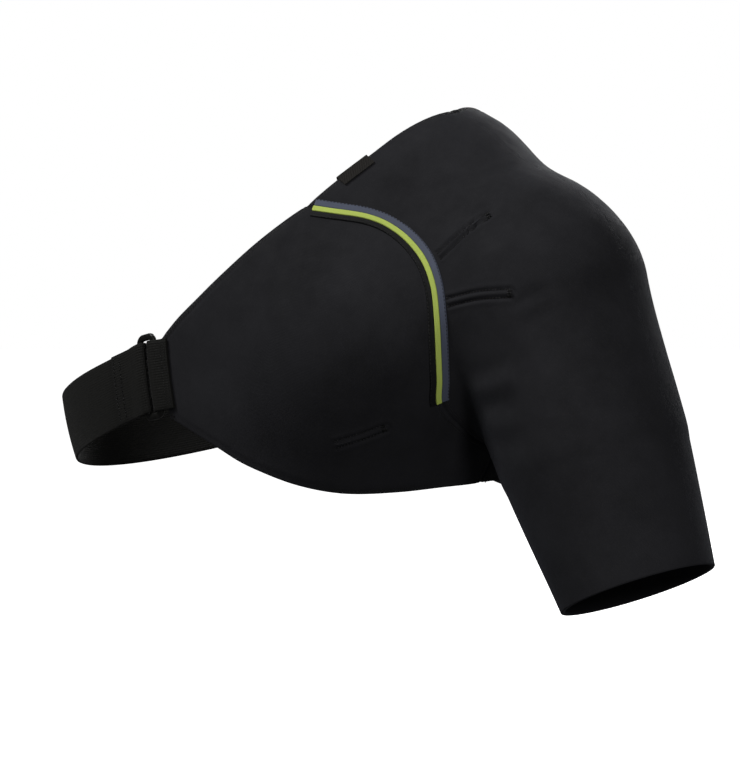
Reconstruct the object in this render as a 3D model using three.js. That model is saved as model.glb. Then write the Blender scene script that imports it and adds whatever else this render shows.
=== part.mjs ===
// Shoulder brace for the left shoulder: a neoprene cap with a short sleeve, a front and a back panel,
// and a webbing strap that runs round the chest through a plastic ring.
// Millimetres, +Z up, +X to the wearer's left, -Y to the front. The origin is the seat on the shoulder.
import * as THREE from 'three';

// Cloth, webbing and clearances
const NEOPRENE = 3;
const WEBBING = 1.8;
const WEBBING_WIDTH = 44;
const ANCHOR_WEBBING = 1.6;
const TAPE_THICKNESS = 0.8;
const TAB_CLOTH = 0.8;
const GAP = 0.3;
const BAR_GAP = 0.5;
const SEAM_GAP = 0.6;
const TAPE_GAP = 0.5;

// Sizes of the shape that the brace is worn on, which is never built
const CHEST_HALF_WIDTH = 170;
const CHEST_HALF_DEPTH = 112;
const CHEST_HALF_HEIGHT = 180;
const CHEST_DROP = 165;
const SHOULDER_OUT = 211;
const SHOULDER_BACK = 8;
const SHOULDER_DROP = 128;
const SHOULDER_RADIUS = 60;
const ARM_MID_RADIUS = 57;
const ARM_HEM_RADIUS = 46;
const ARM_SPREAD = THREE.MathUtils.degToRad(22.1);

// Sizes of the brace
const SLEEVE_LENGTH = 186;
const PANEL_DROP = 247;
const TAPE_WIDTH = 12.6;
const TAB_DEPTH = 7.5;
const RING_WIDTH = 16.2;
const RING_BAR = 4.2;
const RING_THICKNESS = 3.2;
const RING_PLAY = 0.8;
const RING_STANDOFF = 3.8;
const STRAP_FRONT_DROP = 171.5;
const STRAP_SAG = 52;
const STRAP_FOLD = 30;
const STRAP_OVERLAP = 26;
const ANCHOR_LEG = 7;

// The ring's middle lies this far below the middle of webbing that lies flat on the strap
const RING_SINK = 1.1;

// The sleeve's cloth passes the arm at this share of its length, counted from the shoulder joint
const SLEEVE_LOW_SHARE = 0.4;

// The anchor's line falls this much for each radian round the chest, up to the ring's turn in radians
const ANCHOR_SAG = 24;
const RING_TURN = 0.055;

// In front the webbing's cross threads keep this slope, and past the ring they turn with the strap from
// the first of these lengths to the second
const WEAVE_SLOPE = 0.125;
const WEAVE_TURNS_FROM = 45;
const WEAVE_TURNS_TO = 110;

// The strap's line goes this far past the chest's front and back middle, in radians
const STRAP_LINE_PAST = 0.35;

// How finely each piece is divided
const EDGE_STEPS = 7;
const SEAM_STEPS = 20;
const SLEEVE_ROWS = 21;
const PANEL_ROWS = 12;
const PANEL_EDGE_STEPS = 9;
const STRAP_STEPS = 56;
const WEBBING_STEPS = 4;
const TAPE_STEPS = 30;
const EVENING_ROUNDS = 6;
const TAB_STEPS = 8;
const FOLD_STEPS = 5;
const BAR_TURN_STEPS = 8;
const RING_CORNER_STEPS = 3;
const RING_BAR_STEPS = 6;
const STRAP_LINE_STEPS = 160;
const CURVE_DIVISIONS = 400;

// Masses of the body's shape as tapered round bars; both ends' places (out, back, up) are shares of
// SHOULDER_RADIUS from the shoulder joint, and their radii are shares of it too
const BODY_BARS = [
  {
    name: 'neck slope',
    from: { out: -2.63, back: 0.37, up: 1.77, radius: 0.77 },
    to: { out: -1.47, back: 0.27, up: 1.18, radius: 0.67 },
  },
  {
    name: 'collar point',
    from: { out: -1.32, back: 0.23, up: 1.12, radius: 0.57 },
    to: { out: -0.28, back: 0.07, up: 0.57, radius: 0.62 },
  },
];

// Egg-shaped masses on the chest; centres are shares of the chest's half width, depth and height from its
// centre (out, back, up), and the last three columns are their radii as the same shares
const BODY_EGGS = [
  { name: 'chest', out: 0, back: 0, up: 0, wide: 1, deep: 1, high: 1 },
  { name: 'breast', out: 0.55, back: -0.4, up: 0.055, wide: 0.5, deep: 0.52, high: 0.4 },
  { name: 'shoulder blade', out: 0.55, back: 0.4, up: -0.03, wide: 0.47, deep: 0.52, high: 0.61 },
];

// How softly the masses run into each other: little below the armpit, more over the shoulder
const BLEND_LOW = 11;
const BLEND_HIGH = 17;
const BLEND_FROM_DROP = 190;
const BLEND_TO_DROP = 80;

// The neck edge over the shoulder, from the ridge down to the seam's upper end: shares of SHOULDER_RADIUS
// from the shoulder joint
const NECK_ARCH = [
  { out: -1.2, front: -0.15, up: 2.07 },
  { out: -1.27, front: 0.2, up: 2.0 },
  { out: -1.43, front: 0.53, up: 1.83 },
  { out: -1.63, front: 0.95, up: 1.52 },
  { out: -1.83, front: 1.32, up: 1.22 },
  { out: -1.95, front: 1.5, up: 1.03 },
];

// The seam between the cap and a panel, from the neck edge down to the armpit, in the same shares
const ARM_SEAM = [
  { out: -1.95, front: 1.5, up: 1.03 },
  { out: -1.66, front: 1.39, up: 0.98 },
  { out: -1.32, front: 1.24, up: 0.92 },
  { out: -1.11, front: 1.17, up: 0.84 },
  { out: -0.88, front: 1.13, up: 0.69 },
  { out: -0.65, front: 1.15, up: 0.48 },
  { out: -0.49, front: 1.19, up: 0.2 },
  { out: -0.43, front: 1.2, up: -0.14 },
  { out: -0.44, front: 1.16, up: -0.46 },
  { out: -0.49, front: 1.08, up: -0.77 },
  { out: -0.57, front: 0.97, up: -1.03 },
  { out: -0.62, front: 0.5, up: -1.36 },
  { out: -0.65, front: 0, up: -1.5 },
];

// The ring of points that the sleeve's cloth passes between hem and seam: turn is the share of a turn from
// the outside of the arm towards the front, and the rest are shares of SHOULDER_RADIUS
const CROWN = [
  { turn: 0, out: 0.3, front: 0, up: 0.85 },
  { turn: 0.06, out: 0.2, front: 0.4, up: 0.82 },
  { turn: 0.12, out: -0.15, front: 0.75, up: 0.85 },
  { turn: 0.17, out: -0.5, front: 0.95, up: 0.85 },
  { turn: 0.25, out: -0.2, front: 1.0, up: 0.6 },
  { turn: 0.33, out: 0, front: 1.0, up: 0.1 },
  { turn: 0.38, out: -0.05, front: 1.0, up: -0.3 },
  { turn: 0.43, out: -0.3, front: 0.85, up: -0.7 },
  { turn: 0.47, out: -0.48, front: 0.35, up: -1.2 },
  { turn: 0.5, out: -0.52, front: 0, up: -1.35 },
];

// The turn at which the sleeve's line ends in the corner between neck edge and seam
const CORNER_TURN = 0.17;

// The panel's neck edge from its narrow end to the seam, and its lower edge from the narrow end to the side:
// out is a share of the chest's half width, front of its half depth, and down (downBehind on the back
// panel) of PANEL_DROP
const PANEL_NECK_EDGE = [
  { out: -0.007, front: 1.02, down: 0.613 },
  { out: 0.03, front: 1.02, down: 0.588 },
  { out: 0.08, front: 1.01, down: 0.556 },
  { out: 0.19, front: 1.0, down: 0.494 },
  { out: 0.32, front: 0.95, down: 0.417 },
  { out: 0.435, front: 0.87, down: 0.344 },
];
const PANEL_LOW_EDGE = [
  { out: 0.034, front: 1.01, down: 0.814, downBehind: 0.814 },
  { out: 0.08, front: 1.0, down: 0.826, downBehind: 0.826 },
  { out: 0.17, front: 0.98, down: 0.858, downBehind: 0.858 },
  { out: 0.25, front: 0.95, down: 0.887, downBehind: 0.887 },
  { out: 0.33, front: 0.91, down: 0.919, downBehind: 0.918 },
  { out: 0.42, front: 0.86, down: 0.947, downBehind: 0.945 },
  { out: 0.53, front: 0.78, down: 0.976, downBehind: 0.968 },
  { out: 0.66, front: 0.64, down: 0.994, downBehind: 0.972 },
  { out: 0.81, front: 0.42, down: 0.99, downBehind: 0.95 },
  { out: 0.89, front: 0.2, down: 0.978, downBehind: 0.952 },
];
const SIDE_SEAM_FOOT = { out: 0.93, down: 0.97 };

// The ring bar's section: share of the way across the bar, and height as a share of half its thickness
const RING_SECTION = [
  { share: 0, height: -0.6 },
  { share: 0.2, height: -1 },
  { share: 0.8, height: -1 },
  { share: 1, height: -0.6 },
  { share: 1, height: 0.6 },
  { share: 0.8, height: 1 },
  { share: 0.2, height: 1 },
  { share: 0, height: 0.6 },
];

// Share of the lower edge that lies under the panel's neck edge; the rest lies under the seam
const LOW_EDGE_UNDER_NECK = 0.4;

// The seam tape's coloured bands, from the chest side to the arm side, as shares of TAPE_WIDTH from the seam
const TAPE_BANDS = [
  { name: 'tape_black', from: -0.66, to: -0.37, colour: '#17171a' },
  { name: 'tape_green', from: -0.34, to: -0.05, colour: '#b0c848' },
  { name: 'tape_grey', from: -0.02, to: 0.34, colour: '#585e70' },
];
const TAPE_START_SHARE = 0.02;
const TAPE_END_SHARE = 0.73;

// The seat on the shoulder's top, in shares of SHOULDER_RADIUS from the shoulder joint
const SEAT = { out: -0.9, back: 0.15, up: 1.85 };

// The tab on the neck edge lies between these shares of the arch, counted from the seam's end
const TAB_FROM_SHARE = 0.2;
const TAB_TO_SHARE = 0.39;

const SHOULDER = new THREE.Vector3(SHOULDER_OUT, SHOULDER_BACK, -SHOULDER_DROP);
const ARM_LINE = new THREE.Vector3(Math.sin(ARM_SPREAD), 0, -Math.cos(ARM_SPREAD));
const HEM = SHOULDER.clone().addScaledVector(ARM_LINE, SLEEVE_LENGTH);
const MID_ARM = SHOULDER.clone().addScaledVector(ARM_LINE, SLEEVE_LENGTH / 2);

// A place given in shares of the shoulder's radius from the shoulder joint
function fromShoulder(out, back, up) {
  return new THREE.Vector3(out, back, up).multiplyScalar(SHOULDER_RADIUS).add(SHOULDER);
}

// The body's shape

function bodyBars() {
  return BODY_BARS.map((bar) => ({
    from: fromShoulder(bar.from.out, bar.from.back, bar.from.up),
    to: fromShoulder(bar.to.out, bar.to.back, bar.to.up),
    radius: bar.from.radius * SHOULDER_RADIUS,
    toRadius: bar.to.radius * SHOULDER_RADIUS,
  }));
}

// The arm goes on past the hem with the same taper
function armBars() {
  const pastHem = 1 / 3;
  const past = HEM.clone().addScaledVector(ARM_LINE, SLEEVE_LENGTH / 2 * pastHem);
  const pastRadius = ARM_HEM_RADIUS + (ARM_HEM_RADIUS - ARM_MID_RADIUS) * pastHem;
  return [
    { from: SHOULDER, to: MID_ARM, radius: SHOULDER_RADIUS, toRadius: ARM_MID_RADIUS },
    { from: MID_ARM, to: past, radius: ARM_MID_RADIUS, toRadius: pastRadius },
  ];
}

function bodyEggs() {
  return BODY_EGGS.map((egg) => ({
    centre: new THREE.Vector3(
      egg.out * CHEST_HALF_WIDTH,
      egg.back * CHEST_HALF_DEPTH,
      egg.up * CHEST_HALF_HEIGHT - CHEST_DROP,
    ),
    radii: new THREE.Vector3(
      egg.wide * CHEST_HALF_WIDTH,
      egg.deep * CHEST_HALF_DEPTH,
      egg.high * CHEST_HALF_HEIGHT,
    ),
  }));
}

const BARS = bodyBars();
const ARM = armBars();
const EGGS = bodyEggs();

function barDistance(point, bar) {
  const along = bar.to.clone().sub(bar.from);
  const away = point.clone().sub(bar.from);
  const share = THREE.MathUtils.clamp(away.dot(along) / along.lengthSq(), 0, 1);
  const radius = THREE.MathUtils.lerp(bar.radius, bar.toRadius, share);
  return away.addScaledVector(along, -share).length() - radius;
}

function eggDistance(point, egg) {
  const away = point.clone().sub(egg.centre).divide(egg.radii);
  const share = away.length();
  const slope = away.divide(egg.radii).length();
  return share * (share - 1) / Math.max(slope, 1e-9);
}

function blendAt(height) {
  const share = (height + BLEND_FROM_DROP) / (BLEND_FROM_DROP - BLEND_TO_DROP);
  return THREE.MathUtils.lerp(BLEND_LOW, BLEND_HIGH, THREE.MathUtils.smoothstep(share, 0, 1));
}

// Distance from the body's shape, less than 0 inside it, with its masses run softly together
function bodyDistance(point) {
  const distances = [Math.min(...ARM.map((bar) => barDistance(point, bar)))];
  for (const bar of BARS) {
    distances.push(barDistance(point, bar));
  }
  for (const egg of EGGS) {
    distances.push(eggDistance(point, egg));
  }
  const nearest = Math.min(...distances);
  const blend = blendAt(point.z);
  const sum = distances.reduce((total, distance) => total + Math.exp((nearest - distance) / blend), 0);
  return nearest - blend * Math.log(sum);
}

function bodySlope(point) {
  const step = 0.5;
  const slope = ['x', 'y', 'z'].map((axis) => {
    const ahead = point.clone();
    const behind = point.clone();
    ahead[axis] += step;
    behind[axis] -= step;
    return (bodyDistance(ahead) - bodyDistance(behind)) / (2 * step);
  });
  return new THREE.Vector3(...slope);
}

// The point of the body's surface near a seed, with the direction out of the body
function onBody(seed) {
  const point = seed.clone();
  let slope = bodySlope(point);
  for (let step = 0; step < 16; step += 1) {
    const miss = bodyDistance(point);
    if (Math.abs(miss) < 1e-4) {
      break;
    }
    point.addScaledVector(slope, -miss / Math.max(slope.lengthSq(), 0.3));
    slope = bodySlope(point);
  }
  return { point, normal: slope.normalize() };
}

function lifted(spot, height) {
  return spot.point.clone().addScaledVector(spot.normal, height);
}

// Lines on the body

function curveThrough(points) {
  const curve = new THREE.CatmullRomCurve3(points, false, 'centripetal');
  curve.arcLengthDivisions = CURVE_DIVISIONS;
  return curve;
}

// Evenly spaced points of a curve, laid on the body
function evenSteps(points, steps) {
  return curveThrough(points).getSpacedPoints(steps).map((point) => onBody(point).point);
}

// Respaces a line that lies on the body
function respaced(points, steps) {
  const lengths = [0];
  for (let i = 1; i < points.length; i += 1) {
    lengths.push(lengths[i - 1] + points[i].distanceTo(points[i - 1]));
  }
  const whole = lengths[lengths.length - 1];
  const line = [points[0].clone()];
  let at = 1;
  for (let i = 1; i < steps; i += 1) {
    const goal = whole * i / steps;
    while (lengths[at] < goal) {
      at += 1;
    }
    const share = (goal - lengths[at - 1]) / (lengths[at] - lengths[at - 1]);
    line.push(points[at - 1].clone().lerp(points[at], share));
  }
  line.push(points[points.length - 1].clone());
  return line;
}

// The front is side -1 and the back is side 1
function shoulderPoints(table, side) {
  return table.map((row) => fromShoulder(row.out, side * row.front, row.up));
}

function chestPoints(table, side) {
  return table.map((row) => new THREE.Vector3(
    row.out * CHEST_HALF_WIDTH,
    side * row.front * CHEST_HALF_DEPTH,
    -(side > 0 && row.downBehind ? row.downBehind : row.down) * PANEL_DROP,
  ));
}

// Half of the sleeve's upper loop: from the ridge along the neck edge, then down the seam to the armpit
function upperHalfLoop(side) {
  const arch = evenSteps(shoulderPoints(NECK_ARCH, side), EDGE_STEPS);
  arch[0] = ridgePoint();
  const seam = evenSteps(shoulderPoints(ARM_SEAM, side), SEAM_STEPS);
  return [...arch.slice(0, -1), ...seam];
}

function ridgePoint() {
  const front = shoulderPoints(NECK_ARCH, -1)[0];
  const back = shoulderPoints(NECK_ARCH, 1)[0];
  return onBody(front.add(back).multiplyScalar(0.5)).point;
}

function upperLoop() {
  const front = upperHalfLoop(-1);
  const back = upperHalfLoop(1).slice(1, -1).reverse();
  return [...front, ...back];
}

// The direction from the arm's middle line outwards, at a share of a turn from the outside to the front
function armDirection(turn) {
  const outside = new THREE.Vector3(Math.cos(ARM_SPREAD), 0, Math.sin(ARM_SPREAD));
  const angle = turn * 2 * Math.PI;
  return outside.multiplyScalar(Math.cos(angle)).add(new THREE.Vector3(0, -Math.sin(angle), 0));
}

function crownPoint(turn) {
  const side = turn > 0.5 ? 1 : -1;
  const half = turn > 0.5 ? 1 - turn : turn;
  let row = 1;
  while (CROWN[row].turn < half) {
    row += 1;
  }
  const before = CROWN[row - 1];
  const after = CROWN[row];
  const share = (half - before.turn) / (after.turn - before.turn);
  const out = THREE.MathUtils.lerp(before.out, after.out, share);
  const front = THREE.MathUtils.lerp(before.front, after.front, share);
  const up = THREE.MathUtils.lerp(before.up, after.up, share);
  return fromShoulder(out, side * front, up);
}

// The share of a turn at which the sleeve's line to a point of the upper loop starts
function turnAt(index) {
  const half = EDGE_STEPS + SEAM_STEPS;
  const near = index > half ? 2 * half - index : index;
  const onArch = CORNER_TURN * Math.min(near / EDGE_STEPS, 1);
  const onSeam = (0.5 - CORNER_TURN) * Math.max((near - EDGE_STEPS) / SEAM_STEPS, 0);
  return index > half ? 1 - onArch - onSeam : onArch + onSeam;
}

// One line of the sleeve's cloth from the hem up to the upper loop
function sleeveLine(turn, end, rows) {
  const out = armDirection(turn);
  const hem = HEM.clone().addScaledVector(out, ARM_HEM_RADIUS);
  const lowMiddle = SHOULDER.clone().addScaledVector(ARM_LINE, SLEEVE_LENGTH * SLEEVE_LOW_SHARE);
  const low = lowMiddle.addScaledVector(out, ARM_MID_RADIUS);
  const crown = onBody(crownPoint(turn)).point;
  const line = evenSteps([hem, low, crown, end], rows * 2);
  const even = respaced(line, rows).map((point) => onBody(point).point);
  even[rows] = end.clone();
  return respaced(even, rows);
}

// Evens out the inside of a closed grid of points and lays it back on the body
function relaxed(grid, rounds) {
  const columns = grid.length;
  for (let round = 0; round < rounds; round += 1) {
    const before = grid.map((line) => line.map((point) => point.clone()));
    for (let i = 0; i < columns; i += 1) {
      for (let j = 1; j < grid[i].length - 1; j += 1) {
        const sum = before[(i + 1) % columns][j].clone()
          .add(before[(i + columns - 1) % columns][j])
          .add(before[i][j + 1])
          .add(before[i][j - 1]);
        grid[i][j] = onBody(sum.multiplyScalar(0.25)).point;
      }
    }
  }
  return grid;
}

// Draws the cloth's edge back from its seam, square to it, so that two panels keep a gap
function drawBackFromSeam(lines, edgeRow, besideRow, gap) {
  const edge = lines.map((line) => line[edgeRow]);
  const reach = lines.map((line, i) => line[besideRow].clone().sub(edge[i]));
  const squares = edge.map((point, i) => {
    const before = edge[Math.max(i - 1, 0)];
    const after = edge[Math.min(i + 1, edge.length - 1)];
    return after.clone().sub(before).cross(onBody(point).normal).normalize();
  });
  const lean = Math.sign(squares.reduce((sum, square, i) => sum + square.dot(reach[i]), 0));
  lines.forEach((line, i) => {
    line[edgeRow] = edge[i].clone().addScaledVector(squares[i], lean * gap);
  });
}

// Solids

// Turns faces of three or four corners into a closed mesh and makes them point out
function solidFrom(points, faces) {
  const corners = [];
  for (const face of faces) {
    for (let k = 2; k < face.length; k += 1) {
      corners.push(points[face[0]], points[face[k - 1]], points[face[k]]);
    }
  }
  const middle = points[0];
  let volume = 0;
  for (let i = 0; i < corners.length; i += 3) {
    const [a, b, c] = [0, 1, 2].map((step) => corners[i + step].clone().sub(middle));
    volume += a.dot(b.cross(c)) / 6;
  }
  const ordered = volume < 0 ? corners.reverse() : corners;
  const geometry = new THREE.BufferGeometry().setFromPoints(ordered);
  geometry.computeVertexNormals();
  return geometry;
}

// A wall between two heights over a grid of spots; wrap joins the last column to the first
function wallSolid(spots, wrap, from, to) {
  const columns = spots.length;
  const rows = spots[0].length;
  const points = [];
  for (const height of [from, to]) {
    for (const column of spots) {
      points.push(...column.map((spot) => lifted(spot, height)));
    }
  }
  const layer = columns * rows;
  const at = (i, j, top) => top * layer + (i % columns) * rows + j;
  const faces = [];
  // A rim's face turns as it goes, so four triangles meet in its middle and both sides of a seam match
  const rim = (...corners) => {
    const middle = corners.reduce((sum, corner) => sum.add(points[corner]), new THREE.Vector3());
    points.push(middle.divideScalar(corners.length));
    corners.forEach((corner, k) => {
      faces.push([corner, corners[(k + 1) % corners.length], points.length - 1]);
    });
  };
  const spans = wrap ? columns : columns - 1;
  for (let i = 0; i < spans; i += 1) {
    for (let j = 0; j < rows - 1; j += 1) {
      faces.push([at(i, j, 1), at(i + 1, j, 1), at(i + 1, j + 1, 1), at(i, j + 1, 1)]);
      faces.push([at(i, j + 1, 0), at(i + 1, j + 1, 0), at(i + 1, j, 0), at(i, j, 0)]);
    }
    rim(at(i, 0, 0), at(i + 1, 0, 0), at(i + 1, 0, 1), at(i, 0, 1));
    rim(at(i, rows - 1, 1), at(i + 1, rows - 1, 1), at(i + 1, rows - 1, 0), at(i, rows - 1, 0));
  }
  if (!wrap) {
    const last = columns - 1;
    for (let j = 0; j < rows - 1; j += 1) {
      rim(at(0, j, 0), at(0, j, 1), at(0, j + 1, 1), at(0, j + 1, 0));
      rim(at(last, j + 1, 0), at(last, j + 1, 1), at(last, j, 1), at(last, j, 0));
    }
  }
  return solidFrom(points, faces);
}

// A section carried round a ring of stations, where the last one joins the first
function ringSolid(stations) {
  const size = stations[0].length;
  const points = stations.flat();
  const at = (i, k) => (i % stations.length) * size + (k % size);
  const quads = [];
  for (let i = 0; i < stations.length; i += 1) {
    for (let k = 0; k < size; k += 1) {
      quads.push([at(i, k), at(i, k + 1), at(i + 1, k + 1), at(i + 1, k)]);
    }
  }
  return solidFrom(points, quads);
}

// The sides of a section carried along stations, with both ends left open
function sideQuads(stations) {
  const size = stations[0].length;
  const quads = [];
  for (let i = 0; i < stations.length - 1; i += 1) {
    for (let k = 0; k < size; k += 1) {
      const next = (k + 1) % size;
      quads.push([i * size + k, i * size + next, (i + 1) * size + next, (i + 1) * size + k]);
    }
  }
  return quads;
}

function spotsOf(grid) {
  return grid.map((line) => line.map((point) => onBody(point)));
}

// Sleeve and panels

function sleeveGeometry() {
  const loop = upperLoop();
  const lines = loop.map((end, i) => sleeveLine(turnAt(i), end, SLEEVE_ROWS));
  const grid = relaxed(lines, EVENING_ROUNDS);
  const seamed = grid.slice(EDGE_STEPS, loop.length - EDGE_STEPS + 1);
  drawBackFromSeam(seamed, SLEEVE_ROWS, SLEEVE_ROWS - 1, SEAM_GAP / 2);
  return wallSolid(spotsOf(grid), true, 0, NEOPRENE);
}

function panelUpperEdge(side) {
  const seam = evenSteps(shoulderPoints(ARM_SEAM, side), SEAM_STEPS);
  const neck = evenSteps([...chestPoints(PANEL_NECK_EDGE, side), seam[0]], PANEL_EDGE_STEPS);
  return [...neck.slice(0, -1), ...seam];
}

function panelLowerEdge(side) {
  const foot = new THREE.Vector3(
    SIDE_SEAM_FOOT.out * CHEST_HALF_WIDTH,
    SHOULDER_BACK,
    -SIDE_SEAM_FOOT.down * PANEL_DROP,
  );
  const curve = curveThrough([...chestPoints(PANEL_LOW_EDGE, side), foot]);
  const edge = [];
  for (let i = 0; i < PANEL_EDGE_STEPS; i += 1) {
    edge.push(curve.getPointAt(LOW_EDGE_UNDER_NECK * i / PANEL_EDGE_STEPS));
  }
  for (let i = 0; i <= SEAM_STEPS; i += 1) {
    edge.push(curve.getPointAt(THREE.MathUtils.lerp(LOW_EDGE_UNDER_NECK, 1, i / SEAM_STEPS)));
  }
  return edge.map((point) => onBody(point).point);
}

function panelGeometry(side) {
  const upper = panelUpperEdge(side);
  const lower = panelLowerEdge(side);
  const lines = upper.map((top, i) => {
    const line = [];
    for (let j = 0; j <= PANEL_ROWS; j += 1) {
      line.push(onBody(top.clone().lerp(lower[i], j / PANEL_ROWS)).point);
    }
    return respaced(line, PANEL_ROWS);
  });
  drawBackFromSeam(lines.slice(PANEL_EDGE_STEPS), 0, 1, SEAM_GAP / 2);
  const last = lines.length - 1;
  lines[last] = lines[last].map((point) => point.clone().setY(point.y + side * SEAM_GAP / 2));
  return wallSolid(spotsOf(lines), false, 0, NEOPRENE);
}

// Seam tape on the front seam

function tapeGeometry(band) {
  const seam = curveThrough(shoulderPoints(ARM_SEAM, -1));
  const columns = [];
  for (let i = 0; i <= TAPE_STEPS; i += 1) {
    const share = THREE.MathUtils.lerp(TAPE_START_SHARE, TAPE_END_SHARE, i / TAPE_STEPS);
    const middle = onBody(seam.getPointAt(share));
    const across = seam.getTangentAt(share).cross(middle.normal).normalize();
    columns.push([band.from, band.to].map((offset) => (
      onBody(middle.point.clone().addScaledVector(across, -offset * TAPE_WIDTH))
    )));
  }
  return wallSolid(columns, false, NEOPRENE + TAPE_GAP, NEOPRENE + TAPE_GAP + TAPE_THICKNESS);
}

// Tab folded over the neck edge

function tabGeometry() {
  const arch = curveThrough(shoulderPoints(NECK_ARCH, -1).reverse());
  const top = NEOPRENE + GAP;
  const profile = [
    { inwards: TAB_DEPTH, height: top + TAB_CLOTH },
    { inwards: -GAP - TAB_CLOTH, height: top + TAB_CLOTH },
    { inwards: -GAP - TAB_CLOTH, height: -GAP - TAB_CLOTH },
    { inwards: TAB_DEPTH, height: -GAP - TAB_CLOTH },
    { inwards: TAB_DEPTH, height: -GAP },
    { inwards: -GAP, height: -GAP },
    { inwards: -GAP, height: top },
    { inwards: TAB_DEPTH, height: top },
  ];
  const stations = [];
  for (let i = 0; i <= TAB_STEPS; i += 1) {
    const share = THREE.MathUtils.lerp(TAB_FROM_SHARE, TAB_TO_SHARE, i / TAB_STEPS);
    const edge = onBody(arch.getPointAt(share));
    const inwards = arch.getTangentAt(share).cross(edge.normal).normalize();
    stations.push(profile.map((corner) => (
      lifted(onBody(edge.point.clone().addScaledVector(inwards, corner.inwards)), corner.height)
    )));
  }
  return tabSolid(stations);
}

// The tab's U-shaped section is closed at both ends by its three legs
function tabSolid(stations) {
  const quads = sideQuads(stations);
  const end = (stations.length - 1) * stations[0].length;
  for (const [a, b, c, d] of [[0, 1, 6, 7], [1, 2, 5, 6], [2, 3, 4, 5]]) {
    quads.push([d, c, b, a]);
    quads.push([end + a, end + b, end + c, end + d]);
  }
  return solidFrom(stations.flat(), quads);
}

// The strap's way round the chest

function strapSeed(angle) {
  const between = THREE.MathUtils.clamp(angle, RING_TURN, Math.PI - RING_TURN);
  const sag = STRAP_SAG * Math.sin(between) - ANCHOR_SAG * Math.abs(angle - between);
  return new THREE.Vector3(
    -Math.sin(angle) * CHEST_HALF_WIDTH,
    -Math.cos(angle) * CHEST_HALF_DEPTH,
    -STRAP_FRONT_DROP - sag,
  );
}

// The strap's middle line on the body, long enough to reach under the anchor and over the back panel
function strapLine() {
  const points = [];
  for (let i = 0; i <= STRAP_LINE_STEPS; i += 1) {
    const share = i / STRAP_LINE_STEPS;
    const angle = THREE.MathUtils.lerp(-STRAP_LINE_PAST, Math.PI + STRAP_LINE_PAST, share);
    points.push(onBody(strapSeed(angle)).point);
  }
  return points;
}

const STRAP_LINE = strapLine();
const STRAP_LENGTHS = STRAP_LINE.reduce((lengths, point, i) => {
  const before = i === 0 ? 0 : lengths[i - 1] + point.distanceTo(STRAP_LINE[i - 1]);
  lengths.push(before);
  return lengths;
}, []);

// Length along the line at the place nearest to a point
function strapLengthNear(place) {
  let best = { miss: Infinity, length: 0 };
  for (let i = 1; i < STRAP_LINE.length; i += 1) {
    const span = new THREE.Line3(STRAP_LINE[i - 1], STRAP_LINE[i]);
    const share = span.closestPointToPointParameter(place, true);
    const miss = span.at(share, new THREE.Vector3()).distanceTo(place);
    if (miss < best.miss) {
      best = { miss, length: THREE.MathUtils.lerp(STRAP_LENGTHS[i - 1], STRAP_LENGTHS[i], share) };
    }
  }
  return best.length;
}

const PANEL_END = chestPoints([PANEL_NECK_EDGE[0]], -1)[0]
  .add(chestPoints([PANEL_LOW_EDGE[0]], -1)[0])
  .multiplyScalar(0.5);
const FRONT_END = strapLengthNear(new THREE.Vector3(PANEL_END.x, PANEL_END.y, -STRAP_FRONT_DROP));
const BACK_END = strapLengthNear(new THREE.Vector3(PANEL_END.x, -PANEL_END.y, -STRAP_FRONT_DROP));
const RING_AT = FRONT_END + RING_STANDOFF + RING_WIDTH / 2;
const BAR_AT = RING_WIDTH / 2 - RING_BAR / 2;
const RING_HEIGHT = WEBBING + GAP * 2 + RING_THICKNESS / 2 - RING_SINK;

// The direction square to the cross threads, from the way the strap's line runs there
function weaveWay(along, way) {
  const share = THREE.MathUtils.smoothstep(along, RING_AT + WEAVE_TURNS_FROM, RING_AT + WEAVE_TURNS_TO);
  return new THREE.Vector3(-1, 0, -WEAVE_SLOPE).normalize().lerp(way, share);
}

// A place on the strap's way: along it, across it and at a height over the body
function strapPlace(along, across, height) {
  let i = 1;
  while (i < STRAP_LINE.length - 1 && STRAP_LENGTHS[i] < along) {
    i += 1;
  }
  const share = (along - STRAP_LENGTHS[i - 1]) / (STRAP_LENGTHS[i] - STRAP_LENGTHS[i - 1]);
  const middle = onBody(STRAP_LINE[i - 1].clone().lerp(STRAP_LINE[i], share));
  const before = STRAP_LINE[Math.max(i - 2, 0)];
  const after = STRAP_LINE[Math.min(i + 1, STRAP_LINE.length - 1)];
  const way = after.clone().sub(before).normalize();
  const side = middle.normal.clone().cross(weaveWay(along, way)).normalize();
  return lifted(onBody(middle.point.addScaledVector(side, across)), height);
}

// A band of webbing whose middle line is given along the strap's way and in height
function webbingSolid(route, thickness, width) {
  const stations = route.map((spot, i) => {
    const before = route[Math.max(i - 1, 0)];
    const after = route[Math.min(i + 1, route.length - 1)];
    const way = new THREE.Vector2(after.along - before.along, after.height - before.height).normalize();
    const row = (offset) => {
      const points = [];
      for (let k = 0; k <= WEBBING_STEPS; k += 1) {
        const across = THREE.MathUtils.lerp(-width / 2, width / 2, k / WEBBING_STEPS);
        points.push(strapPlace(spot.along - way.y * offset, across, spot.height + way.x * offset));
      }
      return points;
    };
    return [...row(thickness / 2), ...row(-thickness / 2).reverse()];
  });
  return bandSolid(stations);
}

// A band's sections are two rows of points; its ends are closed by strips between the rows
function bandSolid(stations) {
  const size = stations[0].length;
  const quads = sideQuads(stations);
  const end = (stations.length - 1) * size;
  for (let k = 0; k < size / 2 - 1; k += 1) {
    const far = size - 1 - k;
    quads.push([far, far - 1, k + 1, k]);
    quads.push([end + k, end + k + 1, end + far - 1, end + far]);
  }
  return solidFrom(stations.flat(), quads);
}

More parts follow.
